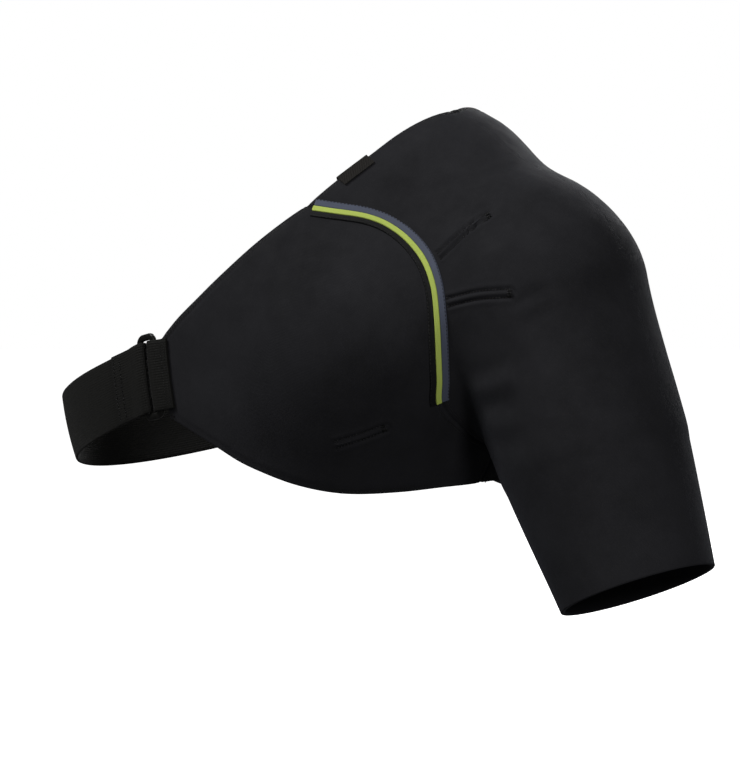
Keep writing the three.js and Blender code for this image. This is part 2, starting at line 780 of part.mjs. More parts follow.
// Half a turn of webbing round a bar, from under it to over it
function barTurn(centre, towards, thickness) {
  const reach = RING_BAR / 2 + BAR_GAP + thickness / 2;
  const rise = RING_THICKNESS / 2 + BAR_GAP + thickness / 2;
  const corner = Math.min(reach, rise) - thickness / 4;
  const spots = [];
  for (let i = 0; i <= BAR_TURN_STEPS; i += 1) {
    const angle = Math.PI * (i / BAR_TURN_STEPS - 0.5);
    const pastBar = i > 0 && i < BAR_TURN_STEPS ? reach - corner : 0;
    const side = Math.cos(angle) * corner + pastBar;
    const level = Math.sin(angle) * corner + Math.sign(Math.sin(angle)) * (rise - corner);
    spots.push({ along: centre + towards * side, height: RING_HEIGHT + level });
  }
  return spots;
}

function strapRoute() {
  const bar = RING_AT + BAR_AT;
  const lying = WEBBING / 2;
  const sewnFrom = BACK_END + STRAP_OVERLAP;
  const onPanel = NEOPRENE + GAP + lying;
  const route = [];
  for (let i = 0; i <= STRAP_STEPS; i += 1) {
    const along = THREE.MathUtils.lerp(sewnFrom, bar + WEBBING_WIDTH / 4, i / STRAP_STEPS);
    const climb = THREE.MathUtils.smoothstep(along, BACK_END - STRAP_OVERLAP, BACK_END - GAP);
    route.push({ along, height: THREE.MathUtils.lerp(lying, onPanel, climb) });
  }
  route.push(...barTurn(bar, -1, WEBBING));
  const onStrap = WEBBING + GAP + lying;
  for (let i = 1; i <= FOLD_STEPS; i += 1) {
    const along = bar + STRAP_FOLD * i / FOLD_STEPS;
    const sink = THREE.MathUtils.smoothstep(i / FOLD_STEPS, 0, 0.5);
    const overBar = RING_HEIGHT + RING_THICKNESS / 2 + BAR_GAP + lying;
    route.push({ along, height: THREE.MathUtils.lerp(overBar, onStrap, sink) });
  }
  return route;
}

function strapGeometry() {
  return webbingSolid(strapRoute(), WEBBING, WEBBING_WIDTH);
}

// The anchor holds the panel's narrow end between its two legs and turns round the ring's near bar
function anchorGeometry() {
  const bar = RING_AT - BAR_AT;
  const lying = ANCHOR_WEBBING / 2;
  const legEnd = FRONT_END - ANCHOR_LEG;
  const middle = (FRONT_END + legEnd) / 2;
  const outside = NEOPRENE + GAP + lying;
  const inside = -GAP - lying;
  const overBar = RING_THICKNESS / 2 + BAR_GAP + lying;
  const route = [
    { along: legEnd, height: inside },
    { along: middle, height: inside },
    { along: FRONT_END + BAR_GAP, height: inside },
    { along: bar - RING_BAR / 2, height: RING_HEIGHT - overBar },
    ...barTurn(bar, 1, ANCHOR_WEBBING),
    { along: bar - RING_BAR / 2, height: RING_HEIGHT + overBar },
    { along: FRONT_END + BAR_GAP, height: outside },
    { along: middle, height: outside },
    { along: legEnd, height: outside },
  ];
  return webbingSolid(route, ANCHOR_WEBBING, WEBBING_WIDTH);
}

// Ring

// A rounded rectangle with the same number of points whatever its size
function roundedOutline(halfAlong, halfAcross, corner) {
  const points = [];
  const turns = [
    { along: 1, across: 1, angle: 0 },
    { along: -1, across: 1, angle: Math.PI / 2 },
    { along: -1, across: -1, angle: Math.PI },
    { along: 1, across: -1, angle: Math.PI * 1.5 },
  ];
  for (const turn of turns) {
    for (let i = 0; i <= RING_CORNER_STEPS; i += 1) {
      const angle = turn.angle + Math.PI / 2 * i / RING_CORNER_STEPS;
      points.push({
        along: turn.along * (halfAlong - corner) + Math.cos(angle) * corner,
        across: turn.across * (halfAcross - corner) + Math.sin(angle) * corner,
      });
    }
    if (turn.along === turn.across * -1) {
      const last = points[points.length - 1];
      for (let i = 1; i < RING_BAR_STEPS; i += 1) {
        const across = THREE.MathUtils.lerp(last.across, -last.across, i / RING_BAR_STEPS);
        points.push({ along: last.along, across });
      }
    }
  }
  return points;
}

function ringGeometry() {
  const halfAcross = WEBBING_WIDTH / 2 + RING_PLAY;
  const inner = roundedOutline(RING_WIDTH / 2 - RING_BAR, halfAcross, RING_PLAY);
  const outer = roundedOutline(RING_WIDTH / 2, halfAcross + RING_BAR, RING_PLAY + RING_BAR);
  const stations = inner.map((near, i) => RING_SECTION.map((corner) => strapPlace(
    RING_AT + THREE.MathUtils.lerp(near.along, outer[i].along, corner.share),
    THREE.MathUtils.lerp(near.across, outer[i].across, corner.share),
    RING_HEIGHT + corner.height * RING_THICKNESS / 2,
  )));
  return ringSolid(stations);
}

// Assembly

function piece(name, geometry, colour, roughness) {
  const material = new THREE.MeshStandardMaterial({ color: colour, roughness, metalness: 0 });
  const mesh = new THREE.Mesh(geometry, material);
  mesh.name = name;
  return mesh;
}

function seatPoint() {
  return onBody(fromShoulder(SEAT.out, SEAT.back, SEAT.up)).point;
}

const brace = new THREE.Group();
brace.add(piece('shoulder_sleeve', sleeveGeometry(), '#202023', 0.85));
brace.add(piece('chest_panel', panelGeometry(-1), '#1d1d20', 0.85));
brace.add(piece('back_panel', panelGeometry(1), '#1d1d20', 0.85));
for (const band of TAPE_BANDS) {
  brace.add(piece(band.name, tapeGeometry(band), band.colour, 0.8));
}
brace.add(piece('edge_tab', tabGeometry(), '#1b1715', 0.8));
brace.add(piece('ring_anchor', anchorGeometry(), '#151513', 0.75));
brace.add(piece('strap_ring', ringGeometry(), '#121212', 0.35));
brace.add(piece('strap', strapGeometry(), '#151513', 0.75));
brace.position.copy(seatPoint()).negate();

export default brace;
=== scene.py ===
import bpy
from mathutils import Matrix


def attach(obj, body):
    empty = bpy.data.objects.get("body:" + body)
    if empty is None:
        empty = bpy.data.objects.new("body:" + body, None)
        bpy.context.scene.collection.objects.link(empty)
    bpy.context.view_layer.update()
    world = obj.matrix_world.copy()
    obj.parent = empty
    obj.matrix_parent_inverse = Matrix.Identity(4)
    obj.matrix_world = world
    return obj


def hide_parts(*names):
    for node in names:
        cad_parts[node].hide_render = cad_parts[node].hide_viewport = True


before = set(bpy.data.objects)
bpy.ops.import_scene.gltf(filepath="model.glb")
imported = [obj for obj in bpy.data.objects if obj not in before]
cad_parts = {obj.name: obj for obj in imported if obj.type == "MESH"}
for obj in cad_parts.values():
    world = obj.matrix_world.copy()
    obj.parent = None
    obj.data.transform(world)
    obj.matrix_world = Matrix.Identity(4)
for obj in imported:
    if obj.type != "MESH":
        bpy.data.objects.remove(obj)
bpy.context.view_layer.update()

import math

import bpy
import numpy as np

# The solids' named sizes, in millimetres, and shares, as in the part's source
NEOPRENE = 3.0
WEBBING = 1.8
WEBBING_WIDTH = 44.0
ANCHOR_WEBBING = 1.6
TAPE_THICKNESS = 0.8
TAB_CLOTH = 0.8
GAP = 0.3
BAR_GAP = 0.5
CHEST_HALF_WIDTH = 170.0
CHEST_HALF_DEPTH = 112.0
CHEST_HALF_HEIGHT = 180.0
CHEST_DROP = 165.0
SHOULDER_RADIUS = 60.0
ARM_MID_RADIUS = 57.0
ARM_HEM_RADIUS = 46.0
ARM_SPREAD = math.radians(22.1)
SLEEVE_LENGTH = 186.0
PANEL_DROP = 247.0
TAPE_WIDTH = 12.6
TAB_DEPTH = 7.5
RING_WIDTH = 16.2
RING_BAR = 4.2
RING_THICKNESS = 3.2
RING_PLAY = 0.8
RING_STANDOFF = 3.8
STRAP_FRONT_DROP = 171.5
STRAP_SAG = 52.0
ANCHOR_SAG = 24.0
RING_TURN = 0.055
WEAVE_SLOPE = 0.125
WEAVE_TURNS = (45.0, 110.0)
STRAP_FOLD = 30.0
STRAP_OVERLAP = 26.0
ANCHOR_LEG = 7.0
RING_SINK = 1.1
SLEEVE_LOW_SHARE = 0.4
STRAP_LINE_PAST = 0.35
SHOULDER = np.array([211.0, 8.0, -128.0])
BLEND = {"low": 11.0, "high": 17.0, "from": -190.0, "to": -80.0}

EDGE_STEPS, SEAM_STEPS, SLEEVE_ROWS = 7, 20, 21
PANEL_ROWS, PANEL_EDGE_STEPS = 12, 9
CORNER_TURN = 0.17
LOW_EDGE_UNDER_NECK = 0.4
TAPE_START, TAPE_END = 0.02, 0.73
TAB_FROM, TAB_TO = 0.2, 0.39
EVENING_ROUNDS = 6

# Bars: out, back, up and radius at both ends, in shares of the shoulder's radius
BODY_BARS = [
    ((-2.63, 0.37, 1.77), 0.77, (-1.47, 0.27, 1.18), 0.67),
    ((-1.32, 0.23, 1.12), 0.57, (-0.28, 0.07, 0.57), 0.62),
]
# Eggs: centre and radii in shares of the chest's half sizes
BODY_EGGS = [
    ((0, 0, 0), (1, 1, 1)),
    ((0.55, -0.4, 0.055), (0.5, 0.52, 0.4)),
    ((0.55, 0.4, -0.03), (0.47, 0.52, 0.61)),
]
NECK_ARCH = [
    (-1.2, -0.15, 2.07), (-1.27, 0.2, 2.0), (-1.43, 0.53, 1.83),
    (-1.63, 0.95, 1.52), (-1.83, 1.32, 1.22), (-1.95, 1.5, 1.03),
]
ARM_SEAM = [
    (-1.95, 1.5, 1.03), (-1.66, 1.39, 0.98), (-1.32, 1.24, 0.92), (-1.11, 1.17, 0.84),
    (-0.88, 1.13, 0.69), (-0.65, 1.15, 0.48), (-0.49, 1.19, 0.2), (-0.43, 1.2, -0.14),
    (-0.44, 1.16, -0.46), (-0.49, 1.08, -0.77), (-0.57, 0.97, -1.03), (-0.62, 0.5, -1.36),
    (-0.65, 0.0, -1.5),
]
CROWN = [
    (0, 0.3, 0, 0.85), (0.06, 0.2, 0.4, 0.82), (0.12, -0.15, 0.75, 0.85), (0.17, -0.5, 0.95, 0.85),
    (0.25, -0.2, 1.0, 0.6), (0.33, 0, 1.0, 0.1), (0.38, -0.05, 1.0, -0.3), (0.43, -0.3, 0.85, -0.7),
    (0.47, -0.48, 0.35, -1.2), (0.5, -0.52, 0, -1.35),
]
PANEL_NECK_EDGE = [
    (-0.007, 1.02, 0.613), (0.03, 1.02, 0.588), (0.08, 1.01, 0.556), (0.19, 1.0, 0.494), (0.32, 0.95, 0.417),
    (0.435, 0.87, 0.344),
]
# Out, front, down and, on the back panel, down
PANEL_LOW_EDGE = [
    (0.034, 1.01, 0.814, 0.814), (0.08, 1.0, 0.826, 0.826), (0.17, 0.98, 0.858, 0.858), (0.25, 0.95, 0.887, 0.887),
    (0.33, 0.91, 0.919, 0.918), (0.42, 0.86, 0.947, 0.945), (0.53, 0.78, 0.976, 0.968), (0.66, 0.64, 0.994, 0.972),
    (0.81, 0.42, 0.99, 0.95), (0.89, 0.2, 0.978, 0.952),
]
SIDE_SEAM_FOOT = (0.93, 0.97)
SEAT = (-0.9, 0.15, 1.85)


# The worn form, which is never shown

def unit(v):
    return v / np.maximum(np.linalg.norm(v, axis=-1, keepdims=True), 1e-9)


def from_shoulder(rows, side=1):
    rows = np.atleast_2d(np.array(rows, float))
    return rows * np.array([1, side, 1]) * SHOULDER_RADIUS + SHOULDER


ARM_LINE = np.array([math.sin(ARM_SPREAD), 0, -math.cos(ARM_SPREAD)])
HEM = SHOULDER + ARM_LINE * SLEEVE_LENGTH
MID_ARM = SHOULDER + ARM_LINE * SLEEVE_LENGTH / 2
PAST_HEM = HEM + ARM_LINE * SLEEVE_LENGTH / 6
PAST_RADIUS = ARM_HEM_RADIUS + (ARM_HEM_RADIUS - ARM_MID_RADIUS) / 3
ARM_BARS = [(SHOULDER, SHOULDER_RADIUS, MID_ARM, ARM_MID_RADIUS), (MID_ARM, ARM_MID_RADIUS, PAST_HEM, PAST_RADIUS)]
BARS = [
    (from_shoulder(a)[0], ra * SHOULDER_RADIUS, from_shoulder(b)[0], rb * SHOULDER_RADIUS)
    for a, ra, b, rb in BODY_BARS
]
CHEST = np.array([CHEST_HALF_WIDTH, CHEST_HALF_DEPTH, CHEST_HALF_HEIGHT])
EGGS = [(np.array(c) * CHEST - np.array([0, 0, CHEST_DROP]), np.array(r) * CHEST) for c, r in BODY_EGGS]


def bar_distance(points, bar):
    start, radius, end, end_radius = bar
    along = end - start
    away = points - start
    share = np.clip(away @ along / (along @ along), 0, 1)
    return np.linalg.norm(away - share[:, None] * along, axis=1) - (radius + (end_radius - radius) * share)


def egg_distance(points, egg):
    away = (points - egg[0]) / egg[1]
    share = np.linalg.norm(away, axis=1)
    return share * (share - 1) / np.maximum(np.linalg.norm(away / egg[1], axis=1), 1e-9)


def smoothstep(value, low, high):
    share = np.clip((value - low) / (high - low), 0, 1)
    return share * share * (3 - 2 * share)


def body_distance(points):
    all_of = [np.minimum(bar_distance(points, ARM_BARS[0]), bar_distance(points, ARM_BARS[1]))]
    all_of += [bar_distance(points, bar) for bar in BARS]
    all_of += [egg_distance(points, egg) for egg in EGGS]
    stack = np.stack(all_of)
    nearest = stack.min(axis=0)
    soft = BLEND["low"] + (BLEND["high"] - BLEND["low"]) * smoothstep(points[:, 2], BLEND["from"], BLEND["to"])
    return nearest - soft * np.log(np.exp((nearest - stack) / soft).sum(axis=0))


def body_slope(points, step=0.5):
    slope = np.empty_like(points)
    for axis in range(3):
        move = np.zeros(3)
        move[axis] = step
        slope[:, axis] = (body_distance(points + move) - body_distance(points - move)) / (2 * step)
    return slope


def on_body(points, rounds=12):
    """The points of the worn form's surface near seeds, and the directions out of it."""
    points = np.array(points, float)
    flat = points.reshape(-1, 3).copy()
    todo = np.arange(len(flat))
    slope = np.empty_like(flat)
    for turn in range(rounds + 1):
        slope[todo] = body_slope(flat[todo])
        if turn == rounds:
            break
        miss = body_distance(flat[todo])
        steep = np.maximum((slope[todo] ** 2).sum(axis=1), 0.3)
        flat[todo] -= slope[todo] * (miss / steep)[:, None]
        todo = todo[np.abs(miss) > 2e-4]
        if not len(todo):
            break
    slope = body_slope(flat)
    return flat.reshape(points.shape), unit(slope).reshape(points.shape)


# Lines

class Curve:
    """A centripetal curve through points, walked by share of its length."""

    def __init__(self, points, divisions=400):
        self.points = np.array(points, float)
        self.turns = np.linspace(0, 1, divisions + 1)
        line = self.at_turn(self.turns)
        steps = np.linalg.norm(np.diff(line, axis=0), axis=1)
        self.lengths = np.concatenate([[0], np.cumsum(steps)])

    def at_turn(self, turns):
        p = self.points
        last = len(p) - 1
        place = np.clip(np.atleast_1d(turns), 0, 1) * last
        i = np.minimum(place.astype(int), last - 1)
        w = (place - i)[:, None]
        ends = np.vstack([2 * p[0] - p[1], p, 2 * p[-1] - p[-2]])
        x0, x1, x2, x3 = ends[i], ends[i + 1], ends[i + 2], ends[i + 3]
        d = [np.maximum(((b - a) ** 2).sum(axis=1) ** 0.25, 1e-6)[:, None] for a, b in ((x0, x1), (x1, x2), (x2, x3))]
        t1 = ((x1 - x0) / d[0] - (x2 - x0) / (d[0] + d[1]) + (x2 - x1) / d[1]) * d[1]
        t2 = ((x2 - x1) / d[1] - (x3 - x1) / (d[1] + d[2]) + (x3 - x2) / d[2]) * d[1]
        return x1 + t1 * w + (-3 * x1 + 3 * x2 - 2 * t1 - t2) * w ** 2 + (2 * x1 - 2 * x2 + t1 + t2) * w ** 3

    def at(self, shares):
        shares = np.clip(np.atleast_1d(shares), 0, 1)
        return self.at_turn(np.interp(shares * self.lengths[-1], self.lengths, self.turns))

    def tangent(self, shares):
        return unit(self.at(np.atleast_1d(shares) + 1e-3) - self.at(np.atleast_1d(shares) - 1e-3))

    def length(self):
        return self.lengths[-1]


def even_steps(points, steps):
    return on_body(Curve(points).at(np.linspace(0, 1, steps + 1)))[0]


def respaced(line, shares):
    """A line of points walked at shares of its length."""
    steps = np.linalg.norm(np.diff(line, axis=0), axis=1)
    lengths = np.concatenate([[0], np.cumsum(steps)])
    goal = np.asarray(shares) * lengths[-1]
    return np.stack([np.interp(goal, lengths, line[:, k]) for k in range(3)], axis=1)


def chest_points(rows, side):
    rows = np.array(rows, float)
    down = rows[:, 3] if side > 0 and rows.shape[1] > 3 else rows[:, 2]
    return np.stack([rows[:, 0] * CHEST_HALF_WIDTH, side * rows[:, 1] * CHEST_HALF_DEPTH, -down * PANEL_DROP], 1)


def ridge_point():
    both = (from_shoulder(NECK_ARCH[0], -1) + from_shoulder(NECK_ARCH[0], 1)) / 2
    return on_body(both)[0][0]


def arch_line(side, steps):
    """The neck edge from the ridge to the corner, through the same few points whatever the steps."""
    coarse = even_steps(from_shoulder(NECK_ARCH, side), EDGE_STEPS)
    coarse[0] = ridge_point()
    return coarse if steps == EDGE_STEPS else even_steps(coarse, steps)


def upper_half_loop(side, fine):
    arch = arch_line(side, EDGE_STEPS * fine)
    seam = even_steps(from_shoulder(ARM_SEAM, side), SEAM_STEPS * fine)
    return np.vstack([arch[:-1], seam])


def upper_loop(fine=1):
    front = upper_half_loop(-1, fine)
    return np.vstack([front, upper_half_loop(1, fine)[1:-1][::-1]])


def arm_direction(turn):
    outside = np.array([math.cos(ARM_SPREAD), 0, math.sin(ARM_SPREAD)])
    return outside * math.cos(turn * 2 * math.pi) + np.array([0, -math.sin(turn * 2 * math.pi), 0])


def crown_point(turn):
    side = 1 if turn > 0.5 else -1
    half = 1 - turn if turn > 0.5 else turn
    table = np.array(CROWN)
    row = [np.interp(half, table[:, 0], table[:, k]) for k in (1, 2, 3)]
    return from_shoulder(row, side)[0]


def turn_at(index):
    half = EDGE_STEPS + SEAM_STEPS
    near = 2 * half - index if index > half else index
    on_arch = CORNER_TURN * min(near / EDGE_STEPS, 1)
    on_seam = (0.5 - CORNER_TURN) * max((near - EDGE_STEPS) / SEAM_STEPS, 0)
    return 1 - on_arch - on_seam if index > half else on_arch + on_seam


def sleeve_line(turn, end, rows):
    out = arm_direction(turn)
    hem = HEM + out * ARM_HEM_RADIUS
    low = SHOULDER + ARM_LINE * SLEEVE_LENGTH * SLEEVE_LOW_SHARE + out * ARM_MID_RADIUS
    crown = on_body(crown_point(turn)[None])[0][0]
    line = even_steps([hem, low, crown, end], rows * 2)
    even = on_body(respaced(line, np.linspace(0, 1, rows + 1)))[0]
    even[-1] = end
    return respaced(even, np.linspace(0, 1, rows + 1))


def sleeve_grid():
    loop = upper_loop()
    grid = np.array([sleeve_line(turn_at(i), end, SLEEVE_ROWS) for i, end in enumerate(loop)])
    for _ in range(EVENING_ROUNDS):
        around = np.roll(grid, 1, axis=0) + np.roll(grid, -1, axis=0)
        inner = (around[:, 1:-1] + grid[:, 2:] + grid[:, :-2]) / 4
        grid[:, 1:-1] = on_body(inner)[0]
    return grid


def spline_weights(count, places, wrap):
    """Cubic weights that read a row of values at fractional places."""
    weights = np.zeros((len(places), count))
    for row, place in enumerate(places):
        i = int(math.floor(place))
        if not wrap:
            i = min(i, count - 2)
        w = place - i
        cubic = [
            -0.5 * w + w ** 2 - 0.5 * w ** 3,
            1 - 2.5 * w ** 2 + 1.5 * w ** 3,
            0.5 * w + 2 * w ** 2 - 1.5 * w ** 3,
            -0.5 * w ** 2 + 0.5 * w ** 3,
        ]
        for k, value in enumerate(cubic):
            j = i - 1 + k
            if wrap:
                weights[row, j % count] += value
            elif j < 0:
                weights[row, 0] += 2 * value
                weights[row, 1] -= value
            elif j >= count:
                weights[row, count - 1] += 2 * value
                weights[row, count - 2] -= value
            else:
                weights[row, j] += value
    return weights


def with_rims(places, beside):
    """Extra places close to both ends, so that a rounded edge is drawn."""
    first, last = places[0], places[-1]
    near = np.array(beside)
    inside = places[(places > first + near[-1] * 1.2) & (places < last - near[-1] * 1.2)]
    return np.concatenate([[first], first + near, inside, last - near[::-1], [last]])


RIM_STEPS = (0.03, 0.07, 0.12, 0.18, 0.26)


def dense_places(cells, dense, steps):
    """Places over a number of cells, with more of them in the named ranges of cells."""
    places = []
    for cell in range(cells):
        here = next((n for first, last, n in dense if first <= cell < last), steps)
        places += [cell + k / here for k in range(here)]
    return np.array(places)


# Cells of the sleeve's grid that bear darts, with their steps; every step divides DENSEST
DART_COLUMNS = [(5, 18, 10), (38, 50, 6)]
DART_ROWS = [(11, 21, 10)]
DENSEST = 30


def fine_sleeve():
    coarse = sleeve_grid()
    columns = dense_places(len(coarse), DART_COLUMNS, 3)
    rows = with_rims(np.append(dense_places(SLEEVE_ROWS, DART_ROWS, 4), SLEEVE_ROWS), RIM_STEPS)
    across = spline_weights(len(coarse), columns, True)
    up = spline_weights(SLEEVE_ROWS + 1, rows, False)
    grid = np.einsum("ci,rj,ijk->crk", across, up, coarse)
    exact = upper_loop(DENSEST)[np.round(columns * DENSEST).astype(int)]
    error = exact - grid[:, -1]
    share = np.clip((rows - (SLEEVE_ROWS - 2)) / 2, 0, 1) ** 2
    grid += error[:, None] * share[None, :, None]
    return grid


def panel_edges(side, fine):
    seam = even_steps(from_shoulder(ARM_SEAM, side), SEAM_STEPS * fine)
    neck = even_steps(np.vstack([chest_points(PANEL_NECK_EDGE, side), seam[:1]]), PANEL_EDGE_STEPS * fine)
    upper = np.vstack([neck[:-1], seam])
    foot = [[SIDE_SEAM_FOOT[0] * CHEST_HALF_WIDTH, SHOULDER[1], -SIDE_SEAM_FOOT[1] * PANEL_DROP]]
    curve = Curve(np.vstack([chest_points(PANEL_LOW_EDGE, side), foot]))
    under_neck = LOW_EDGE_UNDER_NECK * np.arange(PANEL_EDGE_STEPS * fine) / (PANEL_EDGE_STEPS * fine)
    under_seam = LOW_EDGE_UNDER_NECK + (1 - LOW_EDGE_UNDER_NECK) * np.linspace(0, 1, SEAM_STEPS * fine + 1)
    lower = on_body(curve.at(np.concatenate([under_neck, under_seam])))[0]
    return upper, lower


def fine_panel(side, fine):
    upper, lower = panel_edges(side, fine)
    count = len(upper)
    places = with_rims(np.arange(count) / fine, RIM_STEPS) * fine
    pick = [np.stack([np.interp(places, np.arange(count), edge[:, k]) for k in range(3)], 1) for edge in (upper, lower)]
    rows = with_rims(np.linspace(0, PANEL_ROWS, PANEL_ROWS * fine + 1), np.array(RIM_STEPS) * 0.5) / PANEL_ROWS
    share = rows[None, :, None]
    lines = on_body(pick[0][:, None] * (1 - share) + pick[1][:, None] * share)[0]
    return np.array([respaced(line, rows) for line in lines])


# Distances along the cloth

def line_distance(points, line):
    """Distance of points from a line of short spans, and the share of the line nearest to each."""
    points = points.reshape(-1, 3)
    a, b = line[:-1], line[1:]
    span = b - a
    spans = np.maximum((span ** 2).sum(axis=1), 1e-9)
    lengths = np.concatenate([[0], np.cumsum(np.sqrt(spans))])
    best = np.full(len(points), 1e9)
    where = np.zeros(len(points))
    low, high = line.min(axis=0) - 25, line.max(axis=0) + 25
    close = np.where(((points > low) & (points < high)).all(axis=1))[0]
    for start in range(0, len(close), 4000):
        part = close[start:start + 4000]
        away = points[part, None] - a[None]
        t = np.clip((away * span).sum(axis=2) / spans, 0, 1)
        d = np.linalg.norm(away - t[..., None] * span, axis=2)
        k = d.argmin(axis=1)
        pick = np.arange(len(part))
        best[part] = d[pick, k]
        where[part] = (lengths[k] + t[pick, k] * np.sqrt(spans[k])) / lengths[-1]
    return best, where


SEAMS = {side: even_steps(from_shoulder(ARM_SEAM, side), 160) for side in (-1, 1)}
ARCHES = {side: arch_line(side, 60) for side in (-1, 1)}
UPPER, LOWER = {}, {}
for side in (-1, 1):
    UPPER[side], LOWER[side] = panel_edges(side, 8)
NECKS = {side: UPPER[side][:PANEL_EDGE_STEPS * 8 + 1] for side in (-1, 1)}
ENDS = {side: on_body(NECKS[side][0] + (LOWER[side][0] - NECKS[side][0]) * np.linspace(0, 1, 20)[:, None])[0]
        for side in (-1, 1)}
SIDE_SEAM = on_body(UPPER[-1][-1] + (LOWER[-1][-1] - UPPER[-1][-1]) * np.linspace(0, 1, 20)[:, None])[0]

# Darts: from and to in shares of the shoulder's radius (out, front, up); side -1 is the front
DARTS = [
    {"side": -1, "from": (-0.55, 1.083, 0.483), "to": (-0.1, 0.817, 0.917), "turn": 0.06},
    {"side": -1, "from": (-0.4, 1.117, 0.017), "to": (0.333, 1.017, 0.117), "turn": 0.05},
    {"side": 1, "from": (-0.55, 1.083, 0.483), "to": (-0.05, 0.78, 0.95), "turn": 0.06},
    {"side": 1, "from": (-0.4, 1.117, 0.017), "to": (0.4, 0.98, 0.117), "turn": 0.05},
]
# Low darts on the panels: shares of the chest's half width, half depth and of the panels' drop
LOW_DARTS = [
    {"side": -1, "from": (0.7, 0.75, 0.862), "to": (0.882, 0.652, 0.818)},
    {"side": 1, "from": (0.7, 0.75, 0.862), "to": (0.882, 0.652, 0.818)},
]
DART_HALF = 2.4


def dart_lines():
    lines = []
    for dart in DARTS:
        ends = from_shoulder([dart["from"], dart["to"]], dart["side"])
        middle = ends.mean(axis=0) + np.array([0, 0, dart["turn"] * SHOULDER_RADIUS * 0.5])
        lines.append(even_steps([ends[0], middle, ends[1]], 24))
    for dart in LOW_DARTS:
        ends = chest_points([dart["from"], dart["to"]], dart["side"])
        lines.append(even_steps([ends[0], ends.mean(axis=0), ends[1]], 20))
    return lines


DART_LINES = dart_lines()

# Soft folds: two points (out, front, up) in shares of the shoulder's radius, height and half width in mm
FOLDS = [
    {"side": -1, "from": (0.32, 0.98, -0.12), "to": (0.78, 0.75, 0.1), "height": 0.8, "half": 3.5},
    {"side": -1, "from": (-0.3, 1.1, -0.95), "to": (0.5, 0.9, -0.7), "height": 1.2, "half": 6.0},
    {"side": -1, "from": (-0.25, 0.95, -1.25), "to": (0.55, 0.8, -1.15), "height": 1.0, "half": 6.5},
    {"side": 1, "from": (-0.3, 1.1, -0.9), "to": (0.5, 0.9, -0.6), "height": 1.2, "half": 6.0},
    {"side": 1, "from": (-0.25, 0.95, -1.25), "to": (0.6, 0.8, -1.2), "height": 1.0, "half": 6.5},
    {"side": 1, "from": (0.2, 0.98, 0.2), "to": (0.75, 0.75, 0.45), "height": 0.7, "half": 4.0},
]


def fold_lines():
    lines = []
    for fold in FOLDS:
        ends = from_shoulder([fold["from"], fold["to"]], fold["side"])
        lines.append(even_steps([ends[0], ends.mean(axis=0), ends[1]], 16))
    return lines


FOLD_LINES = fold_lines()


def bump(d, half):
    return np.exp(-(d / half) ** 2)


def edge_fall(d, radius):
    """1 at an edge, falling to 0 at a radius from it as a rounded corner does."""
    t = 1 - np.clip(d / radius, 0, 1)
    return 1 - np.sqrt(np.maximum(1 - t * t, 0))


def waves(p):
    """Slight unevenness of worn foam."""
    x, y, z = p[:, 0], p[:, 1], p[:, 2]
    slow = np.sin(x / 23 + 1.3 * np.sin(z / 31)) * np.sin(z / 27 + y / 35 + 0.7)
    quick = np.sin(x / 11 + z / 13 + 2.1 * np.sin(y / 19)) * np.sin(z / 9 - y / 14)
    return 0.28 * slow + 0.07 * quick


def relief(points, open_edges, seams):
    """Height of the outer face over the worn form, and of the inner face."""
    p = points.reshape(-1, 3)
    top = NEOPRENE + waves(p)
    low = np.zeros(len(p))
    for line, soft in open_edges:
        d, _ = line_distance(p, line)
        radius = 1.5 if soft else 0.5
        depth = 1.15 if soft else 0.35
        top -= depth * edge_fall(d, radius)
        low += depth * edge_fall(d, radius)
        if soft:
            top -= 0.4 * (1 - smoothstep(d, 3.5, 6.5))
    for line in seams:
        d, _ = line_distance(p, line)
        top -= 1.0 * bump(d, 1.3) + 0.25 * bump(d - 3.2, 0.9)
    for line in DART_LINES:
        d, where = line_distance(p, line)
        inside = smoothstep(where, 0.0, 0.02) * (1 - smoothstep(where, 0.98, 1.0) * 0.5)
        top += inside * (0.9 * bump(d, 1.2) - 1.25 * bump(d - DART_HALF, 0.8) + 0.45 * bump(d - 4.6, 1.4))
    for fold, line in zip(FOLDS, FOLD_LINES):
        d, where = line_distance(p, line)
        fade = smoothstep(where, 0, 0.3) * (1 - smoothstep(where, 0.7, 1))
        top += fade * fold["height"] * (bump(d, fold["half"]) - 0.6 * bump(d - 1.8 * fold["half"], fold["half"]))
    return top.reshape(points.shape[:-1]), low.reshape(points.shape[:-1])


ORIGIN = on_body(from_shoulder(SEAT))[0][0]


def in_row(points):
    return (np.asarray(points) - ORIGIN) / 1000.0


# Meshes

def mesh_object(name, vertices, faces, uvs=None, sharp=50, colour_layer=None):
    mesh = bpy.data.meshes.new(name)
    mesh.from_pydata([tuple(map(float, v)) for v in vertices], [], [tuple(map(int, f)) for f in faces])
    mesh.validate()
    mesh.update()
    if uvs is not None:
        layer = mesh.uv_layers.new(name="cloth")
        index = np.empty(len(mesh.loops), int)
        mesh.loops.foreach_get("vertex_index", index)
        layer.data.foreach_set("uv", np.asarray(uvs, float)[index].ravel())
    mesh.shade_smooth()
    mesh.set_sharp_from_angle(angle=math.radians(sharp))
    obj = bpy.data.objects.new(name, mesh)
    bpy.context.scene.collection.objects.link(obj)
    return obj


def signed_volume(vertices, faces):
    v = np.asarray(vertices)
    total = 0.0
    for f in faces[:: max(1, len(faces) // 20000)]:
        a, b, c = v[f[0]], v[f[1]], v[f[2]]
        total += float(np.dot(a, np.cross(b, c)))
        if len(f) == 4:
            total += float(np.dot(a, np.cross(c, v[f[3]])))
    return total


